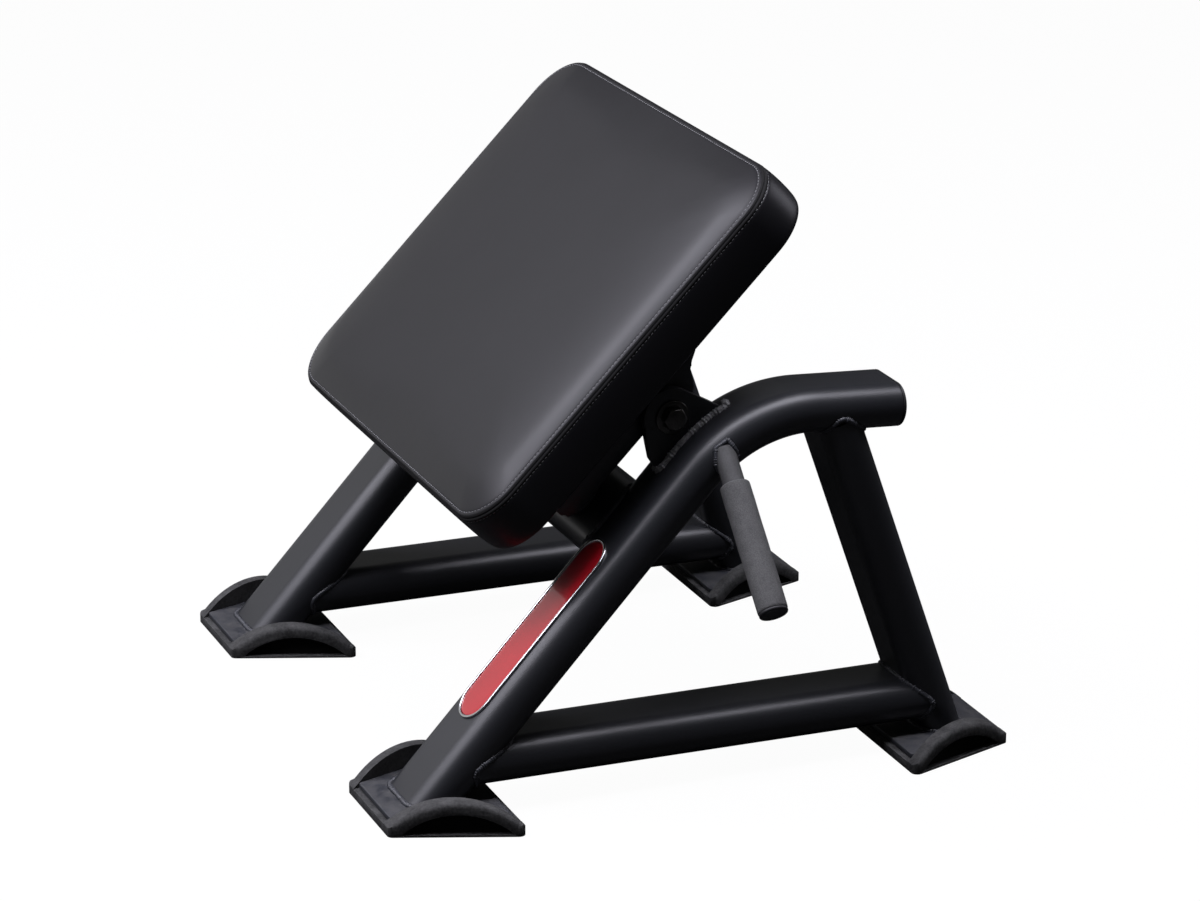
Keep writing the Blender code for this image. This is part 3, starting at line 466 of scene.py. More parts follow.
def oval(wide, thin, steps=22, lead=0.0016):
    """Section of the flat-oval tube, with a point close to each end of its flats."""
    r = thin / 2
    reach = wide / 2 - r
    loop = []
    for side, first in ((1, -90), (-1, 90)):
        for i in range(steps + 1):
            a = radians(first + 180 * i / steps)
            loop.append((side * reach + r * cos(a), r * sin(a)))
        loop.append((side * (reach - lead), loop[-1][1]))
        loop.append((-side * (reach - lead), loop[-1][1]))
    return loop


def circle(radius, steps):
    return [(radius * cos(2 * pi * i / steps), radius * sin(2 * pi * i / steps)) for i in range(steps)]


def placed(section, at, u, v):
    """A flat section as points round a place, its two directions along u and v."""
    return [at + u * a + v * b for a, b in section]


def slid(ring, along, height):
    """Each point moved along a direction until it is at a height."""
    return [point + along * ((height - point.z) / along.z) for point in ring]


def axes(x, y, z, at):
    made = Matrix((x, y, z)).transposed().to_4x4()
    made.translation = at
    return made


def turned(profile, steps, matrix):
    """A solid turned about z: (radius, height) pairs. A bored one lists its bore too and comes back to its start."""
    tip = 0.0002
    rings = [[(x, y, z) for x, y in circle(max(r, tip), steps)] for r, z in profile]
    mesh = loft(rings, wrap=profile[0][0] > 0)
    mesh.transform(matrix)
    return mesh


def dressed(node, body, look, width, angle=30.0, smooth=38.0, first=None):
    """A clean copy of a solid with its cut edges rounded, in its node's place. first may work on the mesh before."""
    work = bmesh.new()
    work.from_mesh(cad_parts[node].data)
    bmesh.ops.remove_doubles(work, verts=work.verts, dist=0.00002)
    bmesh.ops.dissolve_limit(work, angle_limit=radians(0.3), verts=work.verts, edges=work.edges)
    bmesh.ops.dissolve_degenerate(work, dist=0.00001, edges=work.edges)
    if first:
        first(work)
    source = linked("refining", saved(work, node))
    tuned(source.modifiers.new("soft_edges", "BEVEL"), width=width, segments=2, limit_method="ANGLE",
          angle_limit=radians(angle), use_clamp_overlap=True, miter_outer="MITER_ARC")
    return held(node + "_shown", evaluated(source), body, look, (node,), smooth)


# Frame tubes

def main_path():
    """Mid line of the main tube as points, with the direction off its top face at each."""
    steps = 36
    turn = LEG_ANGLE + TOP_SLOPE
    centre = CORNER - SLOPE * (BEND_RADIUS * tan(turn / 2)) - OFF_LEG * BEND_RADIUS
    path = [(LEG_FOOT, OFF_LEG)]
    for i in range(steps + 1):
        off = leaning(LEG_ANGLE - turn * i / steps)[1]
        path.append((centre + off * BEND_RADIUS, off))
    path.append((CORNER + ALONG_TOP * (TOP_LENGTH - 0.0008), OFF_TOP))
    return path


def main_tube():
    """The right main tube; the rim of its rear end is broken by 0.6 mm."""
    section, rim = (oval(TUBE_WIDE - cut, TUBE_THIN - cut) for cut in (0.0, 0.0012))
    path = main_path()
    rings = [placed(section, point + SIDE, ACROSS, off) for point, off in path]
    rings[0] = slid(rings[0], SLOPE, BASE_TOP - 0.0002)
    rings.append(placed(rim, path[-1][0] + ALONG_TOP * 0.0006 + SIDE, ACROSS, OFF_TOP))
    return loft(rings)


def rear_point(z):
    return Vector((FRAME_HALF, REAR_FOOT_Y - z * tan(REAR_TILT), z))


def rear_leg():
    low, high = (placed(oval(TUBE_WIDE, TUBE_THIN), rear_point(z), ACROSS, OFF_REAR) for z in (0.0, REAR_TOP))
    return loft([slid(low, UP_REAR, BASE_TOP - 0.0002), high])


def lower_tube():
    first = Vector((FRAME_HALF, LEG_FOOT_Y + LOWER_HEIGHT / tan(LEG_ANGLE), LOWER_HEIGHT))
    return loft([placed(oval(TUBE_WIDE, TUBE_THIN), end, ACROSS, UP) for end in (first, rear_point(LOWER_HEIGHT))])


def cross_tube():
    reach = ACROSS * (FRAME_HALF - 0.026)
    ends = (CROSS_MIDDLE - reach, CROSS_MIDDLE + reach)
    return loft([placed(oval(TUBE_WIDE, TUBE_THIN), end, SLOPE, OFF_LEG) for end in ends])


class BENCH_OT_tubes(bpy.types.Operator):
    """Makes the oval tubes of both side frames and the cross tube"""

    bl_idname = "bench.tubes"
    bl_label = "Frame Tubes"

    def execute(self, context):
        for part, make in (("main_tube", main_tube), ("rear_leg", rear_leg), ("lower_tube", lower_tube)):
            both_sides(part + "_{}_shown", make(), "frame", "powder_coat", part + "_{}", 40)
        held("cross_tube_shown", cross_tube(), "frame", "powder_coat", ("frame_cross_tube",), 40)
        return {"FINISHED"}


class BENCH_OT_end_caps(bpy.types.Operator):
    """Makes the domed caps in the rear ends of the main tubes"""

    bl_idname = "bench.end_caps"
    bl_label = "End Caps"

    def execute(self, context):
        edge, dome_wide, dome_tall = 0.0018, 0.020, 0.0055
        end = CORNER + ALONG_TOP * TOP_LENGTH + SIDE
        rings = [(0.0010, 0.0003), (0.0002, 0.0006), (0.0, 0.0011), (0.0, edge)]
        for i in range(1, 12):
            a = radians(90 * i / 11.4)
            rings.append((dome_wide * (1 - cos(a)), edge + dome_tall * sin(a)))
        shape = loft([
            placed(oval(TUBE_WIDE - 2 * inset, TUBE_THIN - 2 * inset), end + ALONG_TOP * z, ACROSS, OFF_TOP)
            for inset, z in rings
        ])
        both_sides("end_cap_{}_shown", shape, "frame", "black_plastic", "main_end_cap_{}", 60)
        return {"FINISHED"}


# Geometry node trees

SOCKET_KINDS = {float: "NodeSocketFloat", int: "NodeSocketInt", type(None): "NodeSocketMaterial"}


def geometry_tree(name, inputs):
    """A geometry tree with its named inputs; returns the tree, what it is given and each input's identifier."""
    tree = bpy.data.node_groups.new(name, "GeometryNodeTree")
    socket(tree, "Geometry", "NodeSocketGeometry")
    ids = {}
    for label, value in inputs.items():
        ids[label] = socket(tree, label, SOCKET_KINDS[type(value)], value).identifier
    socket(tree, "Geometry", "NodeSocketGeometry", out=True)
    return tree, tree.nodes.new("NodeGroupInput").outputs, ids


def ending(tree, result, material):
    """Realize Instances, smooth shading, Set Material and the group's output."""
    real = add(tree, "GeometryNodeRealizeInstances", {"Geometry": result})
    smooth = add(tree, "GeometryNodeSetShadeSmooth", {"Geometry": real})
    painted = add(tree, "GeometryNodeSetMaterial", {"Geometry": smooth, "Material": material})
    fill(tree, tree.nodes.new("NodeGroupOutput"), {"Geometry": painted})


def evenly(tree, geometry, pitch):
    """The lines of a mesh as a curve with points at even steps."""
    curve = add(tree, "GeometryNodeMeshToCurve", {"Mesh": geometry})
    return add(tree, "GeometryNodeResampleCurve", {"Curve": curve, "Length": pitch}, mode="LENGTH")


def ball(tree, rings, radius):
    return add(tree, "GeometryNodeMeshUVSphere", {"Segments": 8, "Rings": rings, "Radius": radius}, "Mesh")


def strung(tree, curve, shape, thick, long):
    """A shape set on every point of a curve, its z along the curve, and scaled to its thickness and length."""
    tangent = add(tree, "GeometryNodeInputTangent")
    turn = add(tree, "FunctionNodeAlignRotationToVector", {"Vector": tangent}, axis="Z")
    scale = add(tree, "ShaderNodeCombineXYZ", {0: thick, 1: thick, 2: long})
    inputs = {"Points": curve, "Instance": shape, "Rotation": turn, "Scale": scale}
    return add(tree, "GeometryNodeInstanceOnPoints", inputs)


def random_between(tree, low, high, seed):
    """A random number at each point. Inputs 2 and 3 of the node are its least and most, and output 1 is the number."""
    return add(tree, "FunctionNodeRandomValue", {2: low, 3: high, "Seed": seed}, 1, data_type="FLOAT")


def weld_tree():
    """A bead along each line, with a ripple at every step."""
    tree, given, ids = geometry_tree("weld_bead", {
        "Bead Radius": 0.0036, "Ripple Pitch": 0.0025, "Seed": 4, "Material": None,
    })
    line = evenly(tree, given["Geometry"], given["Ripple Pitch"])
    core_radius = product(tree, given["Bead Radius"], 0.84)
    ring = add(tree, "GeometryNodeCurvePrimitiveCircle", {"Resolution": 8, "Radius": core_radius}, "Curve")
    core = add(tree, "GeometryNodeCurveToMesh", {"Curve": line, "Profile Curve": ring})
    thick = product(tree, given["Bead Radius"], random_between(tree, 0.82, 1.20, given["Seed"]))
    long = product(tree, given["Ripple Pitch"], 0.72)
    ripples = strung(tree, line, ball(tree, 4, 1.0), thick, long)
    ending(tree, add(tree, "GeometryNodeJoinGeometry", {"Geometry": [core, ripples]}), given["Material"])
    return tree, ids


def stitch_tree():
    """Short lengths of thread set end to end along each line."""
    tree, given, ids = geometry_tree("stitch_row", {
        "Stitch Length": 0.0037, "Pitch": 0.0052, "Thread": 0.0009, "Seed": 7, "Material": None,
    })
    line = evenly(tree, given["Geometry"], given["Pitch"])
    size = random_between(tree, 0.92, 1.08, given["Seed"])
    thick, long = (product(tree, given[label], size) for label in ("Thread", "Stitch Length"))
    ending(tree, strung(tree, line, ball(tree, 6, 0.5), thick, long), given["Material"])
    return tree, ids


def along_lines(lines, tree_and_ids, values):
    """The tree run on a mesh of lines (points, closed), as a plain mesh."""
    tree, ids = tree_and_ids
    points, edges = [], []
    for line, closed in lines:
        first = len(points)
        points += line
        edges += [(first + i, first + i + 1) for i in range(len(line) - 1)]
        if closed:
            edges.append((len(points) - 1, first))
    mesh = bpy.data.meshes.new("lines")
    mesh.from_pydata(points, edges, [])
    source = linked("lines", mesh)
    modifier = source.modifiers.new("made", "NODES")
    modifier.node_group = tree
    for label, value in values.items():
        modifier[ids[label]] = value
    shape = evaluated(source)
    if not shape.polygons:
        raise RuntimeError(f"{tree.name} came out empty")
    return shape


# Weld seams

def bvh_of(mesh):
    work = bmesh.new()
    work.from_mesh(mesh)
    tree = BVHTree.FromBMesh(work)
    work.free()
    return tree


def cast_ring(target, starts, direction):
    """Where lines from the starts first meet a surface; lines that miss are left out."""
    hits = [target.ray_cast(start, direction) for start in starts]
    return [hit[0] for hit in hits if hit[0] is not None]


def side_welds():
    """Seams of the right side frame as (points, closed)."""
    main, rear = bvh_of(main_tube()), bvh_of(rear_leg())
    foot_seam, peg_radius, seat_radius, seat_inward = BASE_TOP + 0.0004, 0.0122, 0.0236, 0.1071
    section = oval(TUBE_WIDE, TUBE_THIN, 14, 0.012)
    tight = [(a * 0.985, b * 0.985) for a, b in section]
    lower = placed(tight, Vector((FRAME_HALF, 0.0, LOWER_HEIGHT)), ACROSS, UP)
    peg = placed(circle(peg_radius, 28), PEG_ROOT + PEG_OUT * 0.05, BACK, PEG_ACROSS)
    buffer_seat = CROSS_MIDDLE + OFF_LEG * (TUBE_THIN / 2 + 0.0006) + ACROSS * (FRAME_HALF - seat_inward)
    lines = [
        slid(placed(section, LEG_FOOT + SIDE, ACROSS, OFF_LEG), SLOPE, foot_seam),
        slid(placed(section, rear_point(0.0), ACROSS, OFF_REAR), UP_REAR, foot_seam),
        cast_ring(main, placed(tight, rear_point(0.25), ACROSS, OFF_REAR), UP_REAR),
        cast_ring(main, lower, -BACK),
        cast_ring(rear, lower, BACK),
        cast_ring(main, placed(tight, CROSS_MIDDLE, SLOPE, OFF_LEG), ACROSS),
        cast_ring(main, peg, -PEG_OUT),
        placed(circle(seat_radius, 28), buffer_seat, ACROSS, SLOPE),
    ]
    return [(line, True) for line in lines]


def bracket_welds():
    """The seam round the foot of the right pivot bracket, clear of the pad's side plate that swings inside it."""
    main = bvh_of(main_tube())
    above, steps = 0.6, 18
    spots = [PIVOT.y - 0.0155 + BRACKET_LONG * i / steps for i in range(steps + 1)]
    inner, outer = BRACKET_IN + 0.0042, BRACKET_OUT + 0.0024
    starts = [(inner, spots[0]), *((outer, y) for y in spots), (inner, spots[-1])]
    return [(cast_ring(main, [Vector((x, y, above)) for x, y in starts], -UP), False)]


# Start and end of each carrier tube along the pad, depth of its seam, and how many of the seam's corners are welded
CARRIER_SEAMS = ((-0.175, -0.125, 0.030, 4), (0.002, 0.036, 0.025, 3))


def pad_welds():
    """Seams of the carrier tubes on the right side plate."""
    lines = []
    top, steps = -0.0756, 6
    for low, high, deep, welded in CARRIER_SEAMS:
        corners = [(low, top - 0.001), (low, top - deep), (high, top - deep), (high, top - 0.001)][:welded]
        loop = []
        for (s0, n0), (s1, n1) in zip(corners, corners[1:]):
            for i in range(steps):
                s, n = s0 + (s1 - s0) * i / steps, n0 + (n1 - n0) * i / steps
                loop.append(PAD_MIDDLE + ACROSS * PAD_SIDE_PLATE + UP_PAD * s + OFF_PAD * n)
        lines.append((loop, False))
    return lines


class BENCH_OT_welds(bpy.types.Operator):
    """Makes the rippled weld beads round the joints"""

    bl_idname = "bench.welds"
    bl_label = "Welds"

    def execute(self, context):
        sizes = context.scene.bench_sizes
        tree = weld_tree()
        for part, body, look, lines, factor in (
            ("frame", "frame", "weld_coat", side_welds(), 1.0),
            ("bracket", "frame", "bare_bead", bracket_welds(), 1.5),
            ("pad", "pad", "weld_coat", pad_welds(), 0.62),
        ):
            shape = along_lines(lines, tree, {
                "Bead Radius": sizes.bead_radius * factor, "Ripple Pitch": sizes.ripple_pitch * max(factor, 0.8),
                "Seed": 4, "Material": finish(look),
            })
            both_sides(f"welds_{part}_{{}}", shape, body, look)
        return {"FINISHED"}


# Feet, pivots, carrier

FOOT_SILL, FOOT_WALL_LOW, FOOT_ROUNDING = (0.0020, 0.0030), 0.0135, 0.0065


def mould_foot(work):
    """Rounds the outside top edges of a foot's two walls broadly. Marks painted shade on their half-moon hollows and,
    weaker, on their inner faces.
    """
    work.normal_update()
    hollow = work.faces.layers.float.new("hollow")
    middle = FRAME_HALF if sum(v.co.x for v in work.verts) > 0 else -FRAME_HALF
    # Painted shade: full in the half-moon hollows, three quarters on the walls' inner faces
    for face in work.faces:
        if abs(face.normal.z) > 0.1:
            continue
        if FOOT_SILL[0] < min(v.co.z for v in face.verts) < FOOT_SILL[1]:
            face[hollow] = 1.0
        elif face.normal.x * (face.calc_center_median().x - middle) < 0 and abs(face.normal.x) > 0.7:
            face[hollow] = 0.75
    rim = []
    for edge in work.edges:
        if len(edge.link_faces) != 2 or min(v.co.z for v in edge.verts) < FOOT_WALL_LOW:
            continue
        low, high = sorted((face.normal for face in edge.link_faces), key=lambda n: n.z)
        outward = 1 if edge.verts[0].co.x > middle else -1
        if high.z > 0.5 and abs(low.z) < 0.15 and low.x * outward > 0.7:
            rim.append(edge)
    bmesh.ops.bevel(work, geom=rim, offset=FOOT_ROUNDING, segments=5, profile=0.5, affect="EDGES",
                    clamp_overlap=False)


class BENCH_OT_feet(bpy.types.Operator):
    """Makes the four moulded rubber feet and the steel plates in them"""

    bl_idname = "bench.feet"
    bl_label = "Feet"

    def execute(self, context):
        for place in ("front", "rear"):
            for side in SIDES:
                dressed(f"rubber_foot_{place}_{side}", "frame", "foot_rubber", 0.0014, 24, 30, mould_foot)
                dressed(f"base_plate_{place}_{side}", "frame", "dusty_coat", 0.0008)
        return {"FINISHED"}


class BENCH_OT_pivots(bpy.types.Operator):
    """Makes the brackets, side plates, bolts, washers, nuts and bushes of the two pivots"""

    bl_idname = "bench.pivots"
    bl_label = "Pivots"

    def execute(self, context):
        soft = context.scene.bench_sizes.edge_soft
        for side in SIDES:
            dressed(f"pivot_bracket_{side}", "frame", "powder_coat", soft)
            dressed(f"pad_side_plate_{side}", "pad", "powder_coat", soft)
            for part in ("bolt", "washer", "nut"):
                dressed(f"pivot_{part}_{side}", "frame", "bolt_steel", 0.0004)
            dressed(f"pivot_bush_{side}", "pad", "bush_bronze", 0.0003)
        return {"FINISHED"}


class BENCH_OT_carrier(bpy.types.Operator):
    """Makes what carries the pad: its board, cross tubes, bolts and the buffers that it rests on"""

    bl_idname = "bench.carrier"
    bl_label = "Pad Carrier"

    def execute(self, context):
        dressed("pad_board", "pad", "painted_plywood", 0.0012)
        for place in ("front", "rear"):
            dressed(f"carrier_tube_{place}", "pad", "powder_coat", 0.0003, 50)
            for side in SIDES:
                dressed(f"board_bolt_{place}_{side}", "pad", "bolt_steel", 0.0003)
        for side in SIDES:
            dressed(f"buffer_{side}", "frame", "buffer_rubber", 0.0010)
            dressed(f"buffer_seat_{side}", "frame", "powder_coat", 0.0006)
        return {"FINISHED"}


# Band pegs and name plate

def sleeve_profile():
    """The grip sleeve as (radius, height), bored, with rounded lips and a faint wave along it."""
    start, end, bore, full = SLEEVE_START, SLEEVE_END, BAR_RADIUS - 0.0001, SLEEVE_RADIUS
    profile = [(bore, start), (0.0150, start), (0.0162, start + 0.0003), (0.0168, start + 0.0012)]
    profile += [(full, start + 0.0026), (full, start + 0.010)]
    profile += [(full + 0.00012 * sin(i * 1.7), start + 0.010 + 0.0134 * i) for i in range(1, 10)]
    return profile + [(full, end - 0.0030), (0.0168, end - 0.0010), (0.0160, end), (bore, end)]


class BENCH_OT_pegs(bpy.types.Operator):
    """Makes the two band pegs with their grip sleeves and end plugs"""

    bl_idname = "bench.pegs"
    bl_label = "Band Pegs"

    def execute(self, context):
        seat = axes(BACK, PEG_ACROSS, PEG_OUT, PEG_ROOT)
        low, high, end = -0.012, SLEEVE_START + 0.004, SLEEVE_END
        top = end + 0.0039
        bar = [(0.0, low), (BAR_RADIUS, low), (BAR_RADIUS, high), (0.0, high)]
        plug = [
            (0.0, end - 0.012), (0.0092, end - 0.012), (0.0092, end + 0.0003), (0.0160, end + 0.0003),
            (0.0164, end + 0.0010), (0.0164, top - 0.0014), (0.0158, top - 0.0004), (0.0148, top),
            (0.0120, top), (0.0112, top - 0.0006), (0.0060, top - 0.0010), (0.0, top - 0.0010),
        ]
        for part, profile, steps, look, angle in (
            ("peg_bar", bar, 48, "peg_coat", 40),
            ("peg_sleeve", sleeve_profile(), 56, "grip_sleeve", 50),
            ("peg_plug", plug, 48, "black_plastic", 40),
        ):
            both_sides(part + "_{}_shown", turned(profile, steps, seat), "frame", look, part + "_{}", angle)
        return {"FINISHED"}


class BENCH_OT_name_plate(bpy.types.Operator):
    """Makes the oval plate on the right leg: a polished rim and a bare enamelled field"""

    bl_idname = "bench.name_plate"
    bl_label = "Name Plate"

    def execute(self, context):
        low, high, wide = 0.112, 0.362, 0.057
        face = LEG_FOOT + SIDE + SLOPE * ((low + high) / 2) + OFF_LEG * (TUBE_THIN / 2 + 0.0003)
        rim = (
            (0.0, 0.0), (0.0, 0.0014), (0.0003, 0.0019), (0.0009, 0.0022), (0.0024, 0.0022), (0.0031, 0.0020),
            (0.0035, 0.0015), (0.0036, 0.0),
        )
        field = (
            (0.0039, 0.0), (0.0039, 0.0008), (0.0044, 0.0011), (0.0060, 0.00128), (0.0100, 0.00138),
            (0.0160, 0.0014), (0.0220, 0.0014),
        )
        for name, profile, look, node in (
            ("plate_rim_shown", rim, "plate_silver", "name_plate_rim"),
            ("plate_field_shown", field, "plate_enamel", "name_plate_inlay"),
        ):
            rings = [
                placed(oval(high - low - 2 * inset, wide - 2 * inset, 32), face + OFF_LEG * n, SLOPE, ACROSS)
                for inset, n in profile
            ]
            held(name, loft(rings, wrap=profile is rim), "frame", look, (node,), 60)
        return {"FINISHED"}


# Pad

PAD_HALF_WIDE, PAD_HALF_LONG, PAD_CORNER = 0.321, 0.2545, 0.060
CORNER_STEPS, WIDE_STEPS, LONG_STEPS = 22, 56, 44

# (inset from the pad's outline, height off the seam plane), from the underside over the boxing and seam to the crown
PAD_STATIONS = [
    (0.100, -0.0630), (0.060, -0.0630), (0.030, -0.0630), (0.0120, -0.0630), (0.0062, -0.0629), (0.0036, -0.0624),
    (0.0018, -0.0612), (0.0008, -0.0596), (0.0006, -0.0584), (0.0003, -0.0574), (-0.0002, -0.0560),
    (-0.0008, -0.0520), (-0.0013, -0.0460), (-0.0016, -0.0390), (-0.0017, -0.0310), (-0.0016, -0.0240),
    (-0.0014, -0.0180), (-0.0011, -0.0125), (-0.0008, -0.0092), (-0.0004, -0.0081),
    (0.0004, -0.0074),
    (-0.0004, -0.0067), (-0.0007, -0.0056), (-0.0004, -0.0044), (0.0003, -0.0035),
    (0.0015, -0.0030), (0.0011, -0.0022),
    (0.0016, -0.0012), (0.0027, 0.0000), (0.0040, 0.0009), (0.0051, 0.0011),
    (0.0061, 0.0001),
    (0.0069, 0.0013), (0.0085, 0.0022), (0.0125, 0.0034), (0.0190, 0.0049), (0.0280, 0.0065), (0.0400, 0.0080),
    (0.0550, 0.0093), (0.0750, 0.0106), (0.1000, 0.0117), (0.1300, 0.0124), (0.1650, 0.0128), (0.2000, 0.0129),
    (0.2350, 0.0129),
]
# Stations of the two rows of stitches and of the seam between them, and all that the stuffing doesn't move
SIDE_STITCH, SEAM, TOP_STITCH = 20, (25, 26), 31
PINNED = {*range(12), SIDE_STITCH, *SEAM, TOP_STITCH}

CLOTH_FRAMES = 20
CLOTH_SETTINGS = {
    "quality": 6, "mass": 0.35, "tension_stiffness": 22, "compression_stiffness": 22, "shear_stiffness": 8,
    "bending_stiffness": 1.2, "use_pressure": True, "uniform_pressure_force": 4.0, "vertex_group_mass": "sewn",
}


def pad_point(u, s, n):
    return PAD_MIDDLE + ACROSS * u + UP_PAD * s + OFF_PAD * n


def pad_outline(inset):
    """Rounded rectangle, drawn in from the pad's outline, as (u, s) points. Every inset has as many."""
    a, b = PAD_HALF_WIDE - inset, PAD_HALF_LONG - inset
    r = min(max(PAD_CORNER - 0.55 * inset, 0.020), b * 0.98)
    arcs = []
    for k, (side, end) in enumerate(((1, 1), (-1, 1), (-1, -1), (1, -1), (1, 1))):
        angles = [radians(90 * k + 90 * i / CORNER_STEPS) for i in range(CORNER_STEPS + 1)]
        arcs.append([(side * (a - r) + r * cos(t), end * (b - r) + r * sin(t)) for t in angles])
    loop = []
    for arc, following, steps in zip(arcs, arcs[1:], (WIDE_STEPS, LONG_STEPS) * 2):
        (u, s), (u1, s1) = arc[-1], following[0]
        loop += arc + [(u + (u1 - u) * i / steps, s + (s1 - s) * i / steps) for i in range(1, steps)]
    return loop


def zip_shut(work, ring):
    """Closes an end ring with rows between its points and those across the pad's middle line."""
    outline = pad_outline(PAD_STATIONS[-1][0])
    count = len(outline)
    right = max(range(count), key=lambda i: outline[i][0] - abs(outline[i][1]))
    for i in range(count // 2):
        spots = (right + i, right + i + 1, right - i - 1, right - i)
        corners = [ring[k] for k in dict.fromkeys(spot % count for spot in spots)]
        if len(corners) > 2:
            work.faces.new(corners)


def cover_mesh():
    """The cover before it is stuffed: rings from under the board's edge to the crown, closed at both ends."""
    work = bmesh.new()
    hollow = work.faces.layers.float.new("hollow")
    rows, bands = skinned(work, [[pad_point(u, s, n) for u, s in pad_outline(inset)] for inset, n in PAD_STATIONS])
    # Painted shade on the bands from the side row of stitches over the seam, short of the top row
    for band in bands[SIDE_STITCH:TOP_STITCH - 3]:
        for face in band:
            face[hollow] = 1.0
    zip_shut(work, rows[0])
    zip_shut(work, rows[-1])
    bmesh.ops.recalc_face_normals(work, faces=work.faces)
    return saved(work, "cover")


def swollen(mesh, most):
    """The cover blown up a little by its stuffing, held at its seam and its turned-under edge."""
    rest = [v.co.copy() for v in mesh.vertices]
    source = linked("cover", mesh)
    count = len(pad_outline(0.0))
    sewn = source.vertex_groups.new(name="sewn")
    sewn.add([i for i in range(len(rest)) if i // count in PINNED], 1.0, "REPLACE")
    cloth = source.modifiers.new("stuffing", "CLOTH")
    tuned(cloth.settings, **CLOTH_SETTINGS)
    cloth.settings.effector_weights.gravity = 0.0
    tuned(cloth.collision_settings, use_collision=False, use_self_collision=False)
    tuned(cloth.point_cache, frame_start=1, frame_end=CLOTH_FRAMES)
    scene = bpy.context.scene
    for step in range(1, CLOTH_FRAMES + 1):
        scene.frame_set(step)
    shape = evaluated(source)
    scene.frame_set(1)
    moves = calmed([vertex.co - before for vertex, before in zip(shape.vertices, rest)], count)
    for vertex, before, move in zip(shape.vertices, rest, moves):
        vertex.co = before + (move * (most / move.length) if move.length > most else move)
    return shape


def calmed(moves, count):
    """The swelling of each point shared out over its neighbours, so that the tight cover keeps no creases."""
    rounds, last = 16, len(PAD_STATIONS) - 1
    for turn in range(rounds):
        shared = list(moves)
        for i, move in enumerate(moves):
            ring = i // count
            if ring in PINNED or ring == last:
                continue
            first = ring * count
            beside = moves[first + (i - first + 1) % count] + moves[first + (i - first - 1) % count]
            shared[i] = (move * 2 + beside * 2 + moves[i + count] + moves[i - count]) / 8
        moves = shared
    return moves


class BENCH_OT_cushion(bpy.types.Operator):
    """Makes the boxed cushion with its crowned top and sewn edge"""

    bl_idname = "bench.cushion"
    bl_label = "Cushion"

    def execute(self, context):
        mesh = cover_mesh()
        mesh = swollen(mesh, context.scene.bench_sizes.cover_swell)
        source = linked("cover", mesh)
        tuned(source.modifiers.new("smooth", "SUBSURF"), levels=1, render_levels=1)
        piece = held("pad_cushion_shown", evaluated(source), "pad", "pad_vinyl", ("pad_cushion",))
        return {"FINISHED"}


def stitch_line(cover, station, lift):
    """The line of one row of stitches, laid on the finished cover."""
    inset, n = PAD_STATIONS[station]
    points = []
    for u, s in pad_outline(inset):
        near, normal = cover.find_nearest(pad_point(u, s, n))[:2]
        points.append(near + normal * lift)
    return points, True


class BENCH_OT_stitching(bpy.types.Operator):
    """Sews the two rows of stitches beside the cushion's seam"""

    bl_idname = "bench.stitching"
    bl_label = "Stitching"

    def execute(self, context):
        sizes = context.scene.bench_sizes
        cover = bvh_of(context.scene.objects["pad_cushion_shown"].data)
        lines = [stitch_line(cover, TOP_STITCH, 0.0003), stitch_line(cover, SIDE_STITCH, 0.0002)]
        shape = along_lines(lines, stitch_tree(), {
            "Stitch Length": sizes.stitch_long, "Pitch": sizes.stitch_pitch, "Thread": sizes.thread,
            "Seed": 7, "Material": finish("sewing_thread"),
        })
        held("pad_stitches", shape, "pad", "sewing_thread")
        return {"FINISHED"}


# Stage

WHITE = (1.0, 1.0, 1.0, 1.0)


def background_share(tree, mirrored_share):
    """1 for the rays that see the white backdrop. Mirrored rays see it by a share of their own."""
    path = tree.nodes.new("ShaderNodeLightPath").outputs
    seen = maths(tree, "ADD", path["Is Camera Ray"], path["Is Transmission Ray"], clamp=True)
    return maths(tree, "ADD", seen, product(tree, path["Is Glossy Ray"], mirrored_share), clamp=True)


def along_axis(tree, axis, low, high):
    """0 to 1 from low to high on an axis."""
    place = add(tree, "ShaderNodeTexCoord", out="Object")
    return spread(tree, add(tree, "ShaderNodeSeparateXYZ", {0: place}, axis), low, high)


def shown_by_share(tree, share, plain, white, output):
    """Ends a tree of the stage: its plain shader, and white by share."""
    shader = add(tree, "ShaderNodeMixShader", {"Fac": share, 1: plain, 2: white})
    fill(tree, tree.nodes[output], {"Surface": shader})


def stage_floor():
    """A flat floor that is white to the camera. Bounced and mirrored it is dark, but for its far left side."""
    half, drop = 30, -0.0004
    mesh = bpy.data.meshes.new("stage_floor")
    corners = [(x * half, y * half, drop) for x, y in ((-1, -1), (1, -1), (1, 1), (-1, 1))]
    mesh.from_pydata(corners, [], [(0, 1, 2, 3)])
    floor = linked("stage_floor", mesh)
    made = bpy.data.materials.new("pale_floor")
    made.use_nodes = True
    tree = made.node_tree
    far_left = product(tree, along_axis(tree, "X", -2.2, -4.0), along_axis(tree, "Y", 0.8, -0.2))
    seen = background_share(tree, far_left)
    shader = tree.nodes["Principled BSDF"]
    fill(tree, shader, {"Base Color": mixed(tree, seen, 0.038, 0.95), "Roughness": 0.9, "Specular IOR Level": 0.0})
    white = add(tree, "ShaderNodeEmission", {"Color": WHITE})
    shown_by_share(tree, product(tree, seen, 0.97), shader.outputs["BSDF"], white, "Material Output")
    mesh.materials.append(made)


